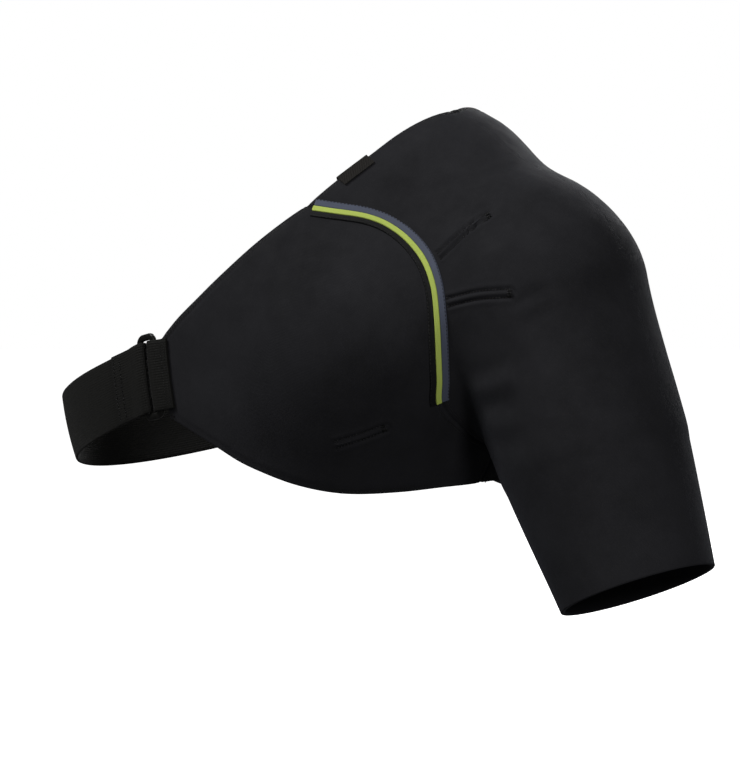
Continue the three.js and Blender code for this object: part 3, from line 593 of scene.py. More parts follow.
def wall_mesh(name, grid, top, low, wrap, sharp=50):
    """A closed wall over a grid of points on the worn form, between two heights."""
    columns, rows = grid.shape[:2]
    points, normals = on_body(grid, 6)
    outer = points + normals * top[..., None]
    inner = points + normals * low[..., None]
    vertices = in_row(np.vstack([inner.reshape(-1, 3), outer.reshape(-1, 3)]))
    layer = columns * rows
    index = np.arange(layer).reshape(columns, rows)
    if wrap:
        index = np.vstack([index, index[:1]])
    a, b, c, d = index[:-1, :-1], index[1:, :-1], index[1:, 1:], index[:-1, 1:]
    inside = np.stack([d, c, b, a], -1).reshape(-1, 4)
    outside = np.stack([a, b, c, d], -1).reshape(-1, 4) + layer
    rims = []
    for line, flip in ((index[:, 0], False), (index[:, -1], True)):
        quads = np.stack([line[:-1], line[1:], line[1:] + layer, line[:-1] + layer], -1)
        rims.append(quads[:, ::-1] if flip else quads)
    if not wrap:
        for line, flip in ((index[0], True), (index[-1], False)):
            quads = np.stack([line[:-1], line[1:], line[1:] + layer, line[:-1] + layer], -1)
            rims.append(quads[:, ::-1] if flip else quads)
    faces = np.vstack([inside, outside, *rims])
    across = np.linalg.norm(np.diff(points, axis=0, append=points[:1] if wrap else points[-1:]), axis=2).mean(axis=1)
    up = np.linalg.norm(np.diff(points, axis=1, append=points[:, -1:]), axis=2).mean(axis=0)
    u = np.concatenate([[0], np.cumsum(across)[:-1]])
    v = np.concatenate([[0], np.cumsum(up)[:-1]])
    uv = np.stack(np.meshgrid(u, v, indexing="ij"), -1).reshape(-1, 2) / 10
    if signed_volume(vertices, faces) < 0:
        faces = faces[:, ::-1]
    return mesh_object(name, vertices, faces, np.vstack([uv, uv]), sharp)


def loft_mesh(name, stations, closed, caps, uvs=None, sharp=50):
    """A section carried along stations; caps close both ends between the section's two halves."""
    count, size = stations.shape[:2]
    vertices = in_row(stations.reshape(-1, 3))
    index = np.arange(count * size).reshape(count, size)
    if closed:
        index = np.vstack([index, index[:1]])
    a, b = index[:-1], index[1:]
    sides = np.stack([a, np.roll(a, -1, axis=1), np.roll(b, -1, axis=1), b], -1).reshape(-1, 4)
    faces = [tuple(f) for f in sides]
    if caps:
        half = size // 2
        for k in range(half - 1):
            far = size - 1 - k
            faces.append((index[0, far], index[0, far - 1], index[0, k + 1], index[0, k]))
            faces.append((index[-1, k], index[-1, k + 1], index[-1, far - 1], index[-1, far]))
    if signed_volume(vertices, faces) < 0:
        faces = [f[::-1] for f in faces]
    return mesh_object(name, vertices, faces, uvs, sharp)


# Strap, ring and anchor

def strap_seed(angle):
    between = np.clip(angle, RING_TURN, math.pi - RING_TURN)
    sag = STRAP_SAG * np.sin(between) - ANCHOR_SAG * np.abs(angle - between)
    return np.stack([
        -np.sin(angle) * CHEST_HALF_WIDTH, -np.cos(angle) * CHEST_HALF_DEPTH, -STRAP_FRONT_DROP - sag,
    ], 1)


STRAP_LINE = on_body(strap_seed(np.linspace(-STRAP_LINE_PAST, math.pi + STRAP_LINE_PAST, 161)))[0]
STRAP_LENGTHS = np.concatenate([[0], np.cumsum(np.linalg.norm(np.diff(STRAP_LINE, axis=0), axis=1))])


def strap_length_near(place):
    a, b = STRAP_LINE[:-1], STRAP_LINE[1:]
    span = b - a
    t = np.clip(((place - a) * span).sum(axis=1) / (span ** 2).sum(axis=1), 0, 1)
    k = np.linalg.norm(a + t[:, None] * span - place, axis=1).argmin()
    return STRAP_LENGTHS[k] + t[k] * (STRAP_LENGTHS[k + 1] - STRAP_LENGTHS[k])


PANEL_END = (chest_points([PANEL_NECK_EDGE[0]], -1)[0] + chest_points([PANEL_LOW_EDGE[0]], -1)[0]) / 2
FRONT_END = strap_length_near(np.array([PANEL_END[0], PANEL_END[1], -STRAP_FRONT_DROP]))
BACK_END = strap_length_near(np.array([PANEL_END[0], -PANEL_END[1], -STRAP_FRONT_DROP]))
RING_AT = FRONT_END + RING_STANDOFF + RING_WIDTH / 2
BAR_AT = RING_WIDTH / 2 - RING_BAR / 2
RING_HEIGHT = WEBBING + GAP * 2 + RING_THICKNESS / 2 - RING_SINK


def strap_place(along, across, height):
    """Places on the strap's way: along it, across it and at a height over the worn form."""
    along, across, height = np.broadcast_arrays(np.asarray(along, float), across, height)
    flat = along.ravel()

    def on_line(s):
        return np.stack([np.interp(s, STRAP_LENGTHS, STRAP_LINE[:, k]) for k in range(3)], 1)

    middle, normal = on_body(on_line(flat), 6)
    way = unit(on_line(flat + 5) - on_line(flat - 5))
    own = smoothstep(flat, RING_AT + WEAVE_TURNS[0], RING_AT + WEAVE_TURNS[1])[:, None]
    way = unit(np.array([[-1, 0, -WEAVE_SLOPE]])) * (1 - own) + way * own
    side = unit(np.cross(normal, way))
    point, normal = on_body(middle + side * across.ravel()[:, None], 8)
    return (point + normal * height.ravel()[:, None]).reshape(along.shape + (3,))


def smooth_route(route, spacing, straight=()):
    curve = Curve([(a, h, 0) for a, h in route], 1200)
    count = int(curve.length() / spacing)
    places = curve.at(np.linspace(0, 1, count + 1))
    return places[:, 0], places[:, 1]


def webbing_section(thickness, width, steps):
    """Half widths and heights round a band's section: over the top, then back underneath."""
    edge = thickness / 2
    flat = np.linspace(-width / 2 + edge * 1.2, width / 2 - edge * 1.2, steps)
    turn = [math.radians(a) for a in (15, 50)]
    left = [(-width / 2 + edge * 1.2 * (1 - math.cos(t)), edge * math.sin(t)) for t in turn]
    right = [(-a, h) for a, h in left[::-1]]
    top = left + [(a, edge) for a in flat] + right
    return top + [(a, -h) for a, h in top[::-1]]


def band_stations(route, thickness, width, steps, ripple=0.0):
    along, height = route
    way = unit(np.stack([np.gradient(along), np.gradient(height)], 1))
    section = np.array(webbing_section(thickness, width, steps))
    a = along[:, None] - way[:, 1:2] * section[None, :, 1]
    h = height[:, None] + way[:, 0:1] * section[None, :, 1]
    rows = np.arange(len(along))[:, None]
    h = h + ripple * np.sin(rows * 1.7 + section[None, :, 0] * 0.9) * np.sin(section[None, :, 0] / 5)
    return strap_place(a, np.broadcast_to(section[None, :, 0], a.shape), h)


def band_uv(route, thickness, width, steps):
    along, height = route
    section = np.array(webbing_section(thickness, width, steps))
    length = np.concatenate([[0], np.cumsum(np.hypot(np.diff(along), np.diff(height)))])
    v, u = np.meshgrid(length, section[:, 0], indexing="ij")
    return np.stack([u, v], -1).reshape(-1, 2) / 10


def bar_turn(centre, towards, thickness, steps=16):
    reach = RING_BAR / 2 + BAR_GAP + thickness / 2
    rise = RING_THICKNESS / 2 + BAR_GAP + thickness / 2
    corner = min(reach, rise) - thickness / 4
    spots = []
    for i in range(steps + 1):
        angle = math.pi * (i / steps - 0.5)
        past = reach - corner if 0 < i < steps else 0
        side = math.cos(angle) * corner + past
        level = math.sin(angle) * corner + math.copysign(rise - corner, math.sin(angle)) * (abs(math.sin(angle)) > 1e-9)
        spots.append((centre + towards * side, RING_HEIGHT + level))
    return spots


def strap_route():
    bar = RING_AT + BAR_AT
    lying = WEBBING / 2
    route = []
    for along in np.linspace(BACK_END + STRAP_OVERLAP, bar + WEBBING_WIDTH / 4, 57):
        climb = float(smoothstep(along, BACK_END - GAP, BACK_END - STRAP_OVERLAP))
        route.append((along, lying + (NEOPRENE + GAP) * (1 - climb) if along < BACK_END - GAP else lying + NEOPRENE + GAP))
    route += bar_turn(bar, -1, WEBBING)
    over = RING_HEIGHT + RING_THICKNESS / 2 + BAR_GAP + lying
    for i in range(1, 6):
        sink = float(smoothstep(i / 5, 0, 0.5))
        route.append((bar + STRAP_FOLD * i / 5, over + (WEBBING + GAP + lying - over) * sink))
    return route


def anchor_route():
    bar = RING_AT - BAR_AT
    lying = ANCHOR_WEBBING / 2
    leg = FRONT_END - ANCHOR_LEG
    inside, outside = -GAP - lying, NEOPRENE + GAP + lying
    over = RING_THICKNESS / 2 + BAR_GAP + lying
    end, middle = FRONT_END + BAR_GAP, (leg + FRONT_END) / 2
    return [
        (leg, inside), (middle, inside), (end, inside), (bar - RING_BAR / 2, RING_HEIGHT - over),
        *bar_turn(bar, 1, ANCHOR_WEBBING),
        (bar - RING_BAR / 2, RING_HEIGHT + over), (end, outside), (middle, outside), (leg, outside),
    ]


def rounded_outline(half_along, half_across, corner, corner_steps=10, bar_steps=24):
    points = []
    for k, (a, b) in enumerate(((1, 1), (-1, 1), (-1, -1), (1, -1))):
        for i in range(corner_steps + 1):
            angle = math.pi / 2 * (k + i / corner_steps)
            points.append((a * (half_along - corner) + math.cos(angle) * corner,
                           b * (half_across - corner) + math.sin(angle) * corner))
        if a == -b:
            along, last = points[-1]
            for i in range(1, bar_steps):
                points.append((along, last - 2 * last * i / bar_steps))
    return np.array(points)


def ring_stations():
    half_across = WEBBING_WIDTH / 2 + RING_PLAY
    inner = rounded_outline(RING_WIDTH / 2 - RING_BAR, half_across, RING_PLAY)
    outer = rounded_outline(RING_WIDTH / 2, half_across + RING_BAR, RING_PLAY + RING_BAR)
    turns = np.linspace(0, 2 * math.pi, 17)[:-1]
    power = 0.6
    share = 0.5 - 0.5 * np.sign(np.cos(turns)) * np.abs(np.cos(turns)) ** power
    height = -np.sign(np.sin(turns)) * np.abs(np.sin(turns)) ** power * RING_THICKNESS / 2
    along = RING_AT + inner[:, None, 0] + (outer - inner)[:, None, 0] * share
    across = inner[:, None, 1] + (outer - inner)[:, None, 1] * share
    return strap_place(along, across, RING_HEIGHT + height[None] + 0 * along)


# Tape and tab

TAPE_BANDS = {
    "tape_black": {"from": -0.66, "to": -0.34, "rise": 0.75},
    "tape_green": {"from": -0.34, "to": -0.04, "rise": 1.05},
    "tape_grey": {"from": -0.04, "to": 0.36, "rise": 0.8},
}


def tape_stations(band, steps=260, across_steps=14):
    curve = Curve(from_shoulder(ARM_SEAM, -1))
    shares = np.linspace(TAPE_START, TAPE_END, steps + 1)
    middle, normal = on_body(curve.at(shares))
    across = unit(np.cross(curve.tangent(shares), normal))
    low, high = band["from"] * TAPE_WIDTH, band["to"] * TAPE_WIDTH
    offsets = np.linspace(low, high, across_steps)
    rim = 1 - edge_fall(np.minimum(offsets - low, high - offsets), 0.45)
    points, normals = on_body(middle[:, None] - across[:, None] * offsets[None, :, None], 6)
    top = points + normals * (NEOPRENE - 0.1 + (band["rise"] * (0.45 + 0.55 * rim)))[None, :, None]
    low_face = (points + normals * (NEOPRENE - 0.9))[:, ::-1]
    return np.concatenate([top, low_face], axis=1), shares * curve.length(), offsets


def tape_object(name):
    stations, lengths, offsets = tape_stations(TAPE_BANDS[name])
    both = np.concatenate([offsets, offsets[::-1]])
    v, u = np.meshgrid(lengths, both, indexing="ij")
    return loft_mesh(name + "_cloth", stations, False, True, np.stack([u, v], -1).reshape(-1, 2) / 10, 60)


def tab_stations():
    curve = Curve(from_shoulder(NECK_ARCH[::-1], -1))
    top = NEOPRENE + GAP
    outer = [(TAB_DEPTH, top + TAB_CLOTH), (TAB_DEPTH * 0.5, top + TAB_CLOTH * 0.9), (1.5, top + TAB_CLOTH * 0.9)]
    turn = [(-GAP - TAB_CLOTH * math.sin(a) * 1.0, NEOPRENE / 2 + (NEOPRENE / 2 + GAP + TAB_CLOTH) * math.cos(a))
            for a in np.linspace(0.25, math.pi - 0.25, 8)]
    under = [(1.5, -GAP - TAB_CLOTH), (TAB_DEPTH * 0.5, -GAP - TAB_CLOTH), (TAB_DEPTH, -GAP - TAB_CLOTH)]
    path = np.array(outer + turn + under)
    inner = path.copy()
    inner[:, 1] = np.clip(path[:, 1], -GAP, top) * 0.999
    inner[:, 0] = np.maximum(path[:, 0], -GAP * 0.8)
    profile = np.vstack([path, inner[::-1]])
    shares = np.linspace(TAB_FROM, TAB_TO, 49)
    edge, normal = on_body(curve.at(shares))
    inwards = unit(np.cross(curve.tangent(shares), normal))
    points, normals = on_body(edge[:, None] + inwards[:, None] * profile[None, :, 0, None], 8)
    u, v = np.meshgrid(shares * curve.length(), profile[:, 0] + profile[:, 1], indexing="ij")
    return points + normals * profile[None, :, 1, None], np.stack([u, v], -1).reshape(-1, 2) / 10


# Threads

def cloth_height(points):
    """Height of the outer face at places on the worn form, edges left out."""
    top, _ = relief(points, [], [SEAMS[-1], SEAMS[1], SIDE_SEAM])
    return top


def thread_mesh(name, runs, radius):
    """Short bowed stitches, each from one place to the next and dipping into the cloth at both ends."""
    rings, sides = 5, 6
    vertices, faces = [], []
    starts = np.vstack([r[0] for r in runs])
    ends = np.vstack([r[1] for r in runs])
    ups = np.vstack([r[2] for r in runs])
    way = unit(ends - starts)
    side = unit(np.cross(way, ups))
    up = np.cross(side, way)
    length = np.linalg.norm(ends - starts, axis=1)
    turns = np.arange(sides) * 2 * math.pi / sides
    bows = np.array([-0.9, 0.35, 0.7, 0.35, -0.9])
    sizes = np.array([0.55, 1.0, 1.1, 1.0, 0.55])
    for ring in range(rings):
        share = ring / (rings - 1)
        centre = starts + way * (length * share)[:, None] + up * radius * bows[ring]
        for turn in turns:
            vertices.append(centre + (side * math.cos(turn) + up * math.sin(turn)) * radius * sizes[ring])
    stack = np.stack(vertices, 1)
    count = len(starts)
    base = np.arange(count) * rings * sides
    for ring in range(rings - 1):
        for k in range(sides):
            n = (k + 1) % sides
            faces.append(np.stack([base + ring * sides + k, base + ring * sides + n,
                                   base + (ring + 1) * sides + n, base + (ring + 1) * sides + k], 1))
    quads = np.vstack(faces)
    caps = [tuple(b + k for k in range(sides - 1, -1, -1)) for b in base]
    caps += [tuple(b + (rings - 1) * sides + k for k in range(sides)) for b in base]
    all_faces = [tuple(f) for f in quads] + caps
    return mesh_object(name, in_row(stack.reshape(-1, 3)), all_faces, None, 80)


def offset_line(line, offset, on_front=True):
    """A line beside a line on the worn form."""
    _, normal = on_body(line, 4)
    way = unit(np.gradient(line, axis=0))
    return on_body(line + np.cross(way, normal) * offset)[0]


def stitches_along(line, pitch, share=0.72, height=None, lift=0.05):
    total = np.linalg.norm(np.diff(line, axis=0), axis=1).sum()
    count = max(int(total / pitch), 1)
    at = (np.arange(count) + 0.5 * (1 - share)) / count
    a, b = respaced(line, at), respaced(line, at + share / count)
    (a, na), (b, nb) = on_body(a, 6), on_body(b, 6)
    ha = cloth_height(a) if height is None else height
    hb = cloth_height(b) if height is None else height
    ha, hb = np.broadcast_to(ha, len(a)), np.broadcast_to(hb, len(b))
    return a + na * (ha + lift)[:, None], b + nb * (hb + lift)[:, None], na


def inwards_of(line, towards):
    """The directions on the cloth, square to its edge, that lead towards a place inside it."""
    _, normal = on_body(line, 4)
    square = np.cross(unit(np.gradient(line, axis=0)), normal)
    return square * np.sign((square * (towards - line)).sum())


def zigzag_along(line, towards, pitch, near, far, thin=0.55):
    """Overlock thread between two offsets from an edge."""
    total = np.linalg.norm(np.diff(line, axis=0), axis=1).sum()
    count = int(total / pitch)
    inwards = inwards_of(line, towards)
    runs = []
    for start, end, first, last in ((0, 0.5, near, far), (0.5, 1.0, far, near)):
        a_at, b_at = (np.arange(count) + start) / count, (np.arange(count) + end) / count
        a = respaced(line, a_at) + respaced_by(line, inwards, a_at) * first
        b = respaced(line, b_at) + respaced_by(line, inwards, b_at) * last
        (a, na), (b, nb) = on_body(a, 6), on_body(b, 6)
        ha, hb = [NEOPRENE - thin * (1 if abs(off) > 2 else 1.15) for off in (first, last)]
        runs.append((a + na * ha, b + nb * hb, na))
    return runs


def respaced_by(line, values, shares):
    steps = np.linalg.norm(np.diff(line, axis=0), axis=1)
    lengths = np.concatenate([[0], np.cumsum(steps)]) / steps.sum()
    return np.stack([np.interp(shares, lengths, values[:, k]) for k in range(3)], 1)


def strap_stitches(along, across_from, across_to, count, height, zigzag=0.0, pitch_share=0.7):
    """A row of stitches across the strap at one place along it."""
    across = np.linspace(across_from, across_to, count + 1)
    step = (across_to - across_from) / count
    lean = np.where(np.arange(count) % 2 == 0, 1, -1) * zigzag
    a = strap_place(along - lean, across[:-1] + step * (1 - pitch_share) / 2, height)
    b = strap_place(along + lean, across[:-1] + step * (1 + pitch_share) / 2, height)
    _, normal = on_body(a, 2)
    return a, b, normal


# Materials

def new_material(name, colour, roughness, sheen=0.0, sheen_roughness=0.5, specular=0.5):
    material = bpy.data.materials.new(name)
    material.use_nodes = True
    nodes, links = material.node_tree.nodes, material.node_tree.links
    shader = nodes["Principled BSDF"]
    shader.inputs["Base Color"].default_value = (*colour, 1)
    shader.inputs["Roughness"].default_value = roughness
    shader.inputs["Sheen Weight"].default_value = sheen
    shader.inputs["Sheen Roughness"].default_value = sheen_roughness
    shader.inputs["Specular IOR Level"].default_value = specular
    return material, nodes, links, shader


def node(nodes, kind, **values):
    made = nodes.new(kind)
    for key, value in values.items():
        if hasattr(made, key) and not key[0].isupper():
            setattr(made, key, value)
        else:
            made.inputs[key.replace("_", " ")].default_value = value
    return made


def maths(nodes, links, operation, a, b=None, clamp=False):
    made = nodes.new("ShaderNodeMath")
    made.operation = operation
    made.use_clamp = clamp
    for socket, value in zip(made.inputs, (a, b)):
        if value is None:
            continue
        if isinstance(value, (int, float)):
            socket.default_value = value
        else:
            links.new(value, socket)
    return made.outputs[0]


def ramp(nodes, links, value, stops):
    made = nodes.new("ShaderNodeValToRGB")
    made.color_ramp.elements.remove(made.color_ramp.elements[1])
    for k, (place, colour) in enumerate(stops):
        element = made.color_ramp.elements[0] if k == 0 else made.color_ramp.elements.new(place)
        element.position = place
        element.color = (*colour, 1)
    links.new(value, made.inputs[0])
    return made.outputs[0]


def cloth_uv(nodes):
    made = nodes.new("ShaderNodeUVMap")
    made.uv_map = "cloth"
    return made.outputs[0]


def stretched(nodes, links, vector, scale):
    made = nodes.new("ShaderNodeMapping")
    made.inputs["Scale"].default_value = scale
    links.new(vector, made.inputs["Vector"])
    return made.outputs[0]


def add_bumps(nodes, links, shader, layers):
    """Bumps in a chain: height socket, strength and distance in metres."""
    normal = None
    for height, strength, distance in layers:
        made = nodes.new("ShaderNodeBump")
        made.inputs["Strength"].default_value = strength
        made.inputs["Distance"].default_value = distance
        links.new(height, made.inputs["Height"])
        if normal is not None:
            links.new(normal, made.inputs["Normal"])
        normal = made.outputs[0]
    links.new(normal, shader.inputs["Normal"])


def noise(nodes, links, scale, detail=3.0, rough=0.5, vector=None):
    made = nodes.new("ShaderNodeTexNoise")
    made.inputs["Scale"].default_value = scale
    made.inputs["Detail"].default_value = detail
    made.inputs["Roughness"].default_value = rough
    if vector is None:
        place = nodes.new("ShaderNodeTexCoord")
        vector = place.outputs["Object"]
    links.new(vector, made.inputs["Vector"])
    return made.outputs[0]


def waves_of(nodes, links, vector, scale, direction, profile="SIN", distortion=0.0):
    made = nodes.new("ShaderNodeTexWave")
    made.wave_type = "BANDS"
    made.bands_direction = direction
    made.wave_profile = profile
    made.inputs["Scale"].default_value = scale
    made.inputs["Distortion"].default_value = distortion
    made.inputs["Detail"].default_value = 1.0
    links.new(vector, made.inputs["Vector"])
    return made.outputs[1]


def mix_colour(nodes, links, share, a, b):
    made = nodes.new("ShaderNodeMix")
    made.data_type = "RGBA"
    for socket, value in ((made.inputs[6], a), (made.inputs[7], b)):
        if isinstance(value, tuple):
            socket.default_value = (*value, 1)
        else:
            links.new(value, socket)
    if isinstance(share, float):
        made.inputs[0].default_value = share
    else:
        links.new(share, made.inputs[0])
    return made.outputs[2]


def neoprene_material(name, base):
    """Jersey knit on foam: fine ribs of loops, slight pilling and colour change."""
    material, nodes, links, shader = new_material(name, base, 0.82, 0.04, 0.4, 0.12)
    uv = cloth_uv(nodes)
    # One unit of the map is 10 mm, so a wale is about 0.7 mm and a course 0.6 mm
    wales = waves_of(nodes, links, uv, 14 / math.tau * 2, "X")
    courses = waves_of(nodes, links, uv, 17 / math.tau * 2, "Y", distortion=0.6)
    knit = maths(nodes, links, "MULTIPLY", wales, courses)
    lint = noise(nodes, links, 900, 4, 0.65)
    patch = noise(nodes, links, 14, 4, 0.6)
    cloud = noise(nodes, links, 95, 3, 0.6)
    dark = tuple(c * 0.72 for c in base)
    pale = tuple(c * 1.45 for c in base)
    colour = ramp(nodes, links, patch, [(0.3, dark), (0.7, pale)])
    speck = ramp(nodes, links, lint, [(0.55, (0, 0, 0)), (0.75, (1, 1, 1))])
    colour = mix_colour(nodes, links, maths(nodes, links, "MULTIPLY", speck, 0.25), colour, tuple(c * 2.6 for c in base))
    colour = mix_colour(nodes, links, maths(nodes, links, "MULTIPLY", knit, 0.3), colour, tuple(c * 1.7 for c in base))
    links.new(colour, shader.inputs["Base Color"])
    links.new(ramp(nodes, links, cloud, [(0.3, (0.74,) * 3), (0.7, (0.9,) * 3)]), shader.inputs["Roughness"])
    shader.inputs["Sheen Tint"].default_value = (0.75, 0.8, 1, 1)
    add_bumps(nodes, links, shader, [(cloud, 0.25, 0.0006), (knit, 0.5, 0.00018), (lint, 0.35, 0.00012)])
    return material


def webbing_material(name, base):
    """Woven webbing: rows of warp ribs along it, crossed by picks."""
    material, nodes, links, shader = new_material(name, base, 0.62, 0.03, 0.4, 0.15)
    uv = cloth_uv(nodes)
    warp = waves_of(nodes, links, uv, 6.2 / math.tau * 2, "X")
    picks = waves_of(nodes, links, uv, 11 / math.tau * 2, "Y", distortion=0.4)
    fibre = noise(nodes, links, 1.0, 3, 0.6, stretched(nodes, links, uv, (60, 6, 1)))
    weave = maths(nodes, links, "ADD", maths(nodes, links, "MULTIPLY", warp, 0.5), maths(nodes, links, "MULTIPLY", picks, 0.7))
    colour = mix_colour(nodes, links, maths(nodes, links, "MULTIPLY", picks, 0.5), tuple(c * 0.55 for c in base), tuple(c * 1.7 for c in base))
    patch = noise(nodes, links, 22, 3, 0.6)
    colour = mix_colour(nodes, links, maths(nodes, links, "MULTIPLY", patch, 0.35), colour, tuple(c * 1.6 for c in base))
    links.new(colour, shader.inputs["Base Color"])
    links.new(ramp(nodes, links, fibre, [(0.2, (0.5,) * 3), (0.8, (0.75,) * 3)]), shader.inputs["Roughness"])
    add_bumps(nodes, links, shader, [(weave, 0.7, 0.00035), (fibre, 0.3, 0.0001)])
    return material


def tape_material(name, base, ridge):
    """Narrow woven tape with fine lines along it."""
    material, nodes, links, shader = new_material(name, base, 0.6, 0.05, 0.35, 0.2)
    uv = cloth_uv(nodes)
    lines = waves_of(nodes, links, uv, ridge / math.tau * 2, "X")
    picks = waves_of(nodes, links, uv, 21 / math.tau * 2, "Y", distortion=0.5)
    weave = maths(nodes, links, "MULTIPLY", lines, picks)
    fibre = noise(nodes, links, 1.0, 3, 0.6, stretched(nodes, links, uv, (40, 9, 1)))
    dark = tuple(c * 0.5 for c in base)
    pale = tuple(min(c * 1.25, 1) for c in base)
    colour = mix_colour(nodes, links, weave, dark, pale)
    colour = mix_colour(nodes, links, 0.45, colour, base)
    colour = mix_colour(nodes, links, maths(nodes, links, "MULTIPLY", fibre, 0.4), colour, tuple(c * 0.75 for c in base))
    links.new(colour, shader.inputs["Base Color"])
    add_bumps(nodes, links, shader, [(weave, 0.6, 0.0002), (fibre, 0.3, 0.0001)])
    return material


def tab_material(name, base):
    material, nodes, links, shader = new_material(name, base, 0.78, 0.03, 0.4, 0.15)
    uv = cloth_uv(nodes)
    twill = waves_of(nodes, links, uv, 13 / math.tau * 2, "DIAGONAL")
    fibre = noise(nodes, links, 700, 3, 0.6)
    colour = mix_colour(nodes, links, twill, tuple(c * 0.6 for c in base), tuple(c * 1.5 for c in base))
    links.new(colour, shader.inputs["Base Color"])
    add_bumps(nodes, links, shader, [(twill, 0.6, 0.00025), (fibre, 0.3, 0.0001)])
    return material


def plastic_material(name, base):
    material, nodes, links, shader = new_material(name, base, 0.42, 0.0, 0.5, 0.22)
    grain = noise(nodes, links, 1600, 2, 0.5)
    scuff = noise(nodes, links, 260, 5, 0.7)
    links.new(ramp(nodes, links, scuff, [(0.35, (0.28,) * 3), (0.7, (0.5,) * 3)]), shader.inputs["Roughness"])
    links.new(ramp(nodes, links, scuff, [(0.4, base), (0.8, tuple(c * 2.2 for c in base))]), shader.inputs["Base Color"])
    add_bumps(nodes, links, shader, [(grain, 0.15, 0.0001)])
    return material


def thread_material(name, base):
    material, nodes, links, shader = new_material(name, base, 0.45, 0.05, 0.4, 0.25)
    twist = noise(nodes, links, 2500, 2, 0.5)
    links.new(ramp(nodes, links, twist, [(0.35, tuple(c * 0.6 for c in base)), (0.7, tuple(c * 1.6 for c in base))]), shader.inputs["Base Color"])
    add_bumps(nodes, links, shader, [(twist, 0.5, 0.0001)])
    return material


NEOPRENE_BLACK = (0.0145, 0.0145, 0.0165)
MATERIALS = {
    "neoprene": neoprene_material("neoprene_knit", NEOPRENE_BLACK),
    "webbing": webbing_material("black_webbing", (0.0095, 0.0095, 0.0085)),
    "tape_black": tape_material("black_tape", (0.005, 0.005, 0.0055), 24),
    "tape_green": tape_material("lime_tape", (0.62, 0.76, 0.15), 16),
    "tape_grey": tape_material("blue_grey_tape", (0.1, 0.115, 0.165), 22),
    "tab": tab_material("brown_black_cloth", (0.0145, 0.013, 0.0115)),
    "plastic": plastic_material("black_plastic", (0.0055, 0.0055, 0.005)),
    "thread": thread_material("black_thread", (0.006, 0.006, 0.006)),
}


def finished(obj, material, slot, *nodes):
    obj.data.materials.append(MATERIALS[material])
    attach(obj, "root")
    if nodes:
        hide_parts(*nodes)
    return obj


# Pieces

def build_sleeve():
    grid = fine_sleeve()
    hem = grid[:, 0]
    edges = [(ARCHES[-1], True), (ARCHES[1], True), (np.vstack([hem, hem[:1]]), False)]
    top, low = relief(grid, edges, [SEAMS[-1], SEAMS[1]])
    obj = wall_mesh("sleeve_cloth", grid, top, low, True)
    finished(obj, "neoprene", "neoprene", "shoulder_sleeve")
    return obj


def build_panel(side):
    grid = fine_panel(side, 10)
    edges = [(NECKS[side], True), (LOWER[side], True), (ENDS[side], True)]
    top, low = relief(grid, edges, [SEAMS[side], SIDE_SEAM])
    name = "chest_panel" if side < 0 else "back_panel"
    obj = wall_mesh(name + "_cloth", grid, top, low, False)
    finished(obj, "neoprene", "neoprene", name)
    return obj


def build_webbing():
    route = smooth_route(strap_route(), 1.6)
    stations = band_stations(route, WEBBING, WEBBING_WIDTH, 22)
    strap = loft_mesh("strap_webbing", stations, False, True, band_uv(route, WEBBING, WEBBING_WIDTH, 22))
    finished(strap, "webbing", "webbing", "strap")
    length = float(np.hypot(np.diff(route[0]), np.diff(route[1])).sum()) / 1000
    route = smooth_route(anchor_route(), 0.8)
    stations = band_stations(route, ANCHOR_WEBBING, WEBBING_WIDTH, 22)
    anchor = loft_mesh("anchor_webbing", stations, False, True, band_uv(route, ANCHOR_WEBBING, WEBBING_WIDTH, 22))
    finished(anchor, "webbing", "webbing", "ring_anchor")
    length = float(np.hypot(np.diff(route[0]), np.diff(route[1])).sum()) / 1000
    return length


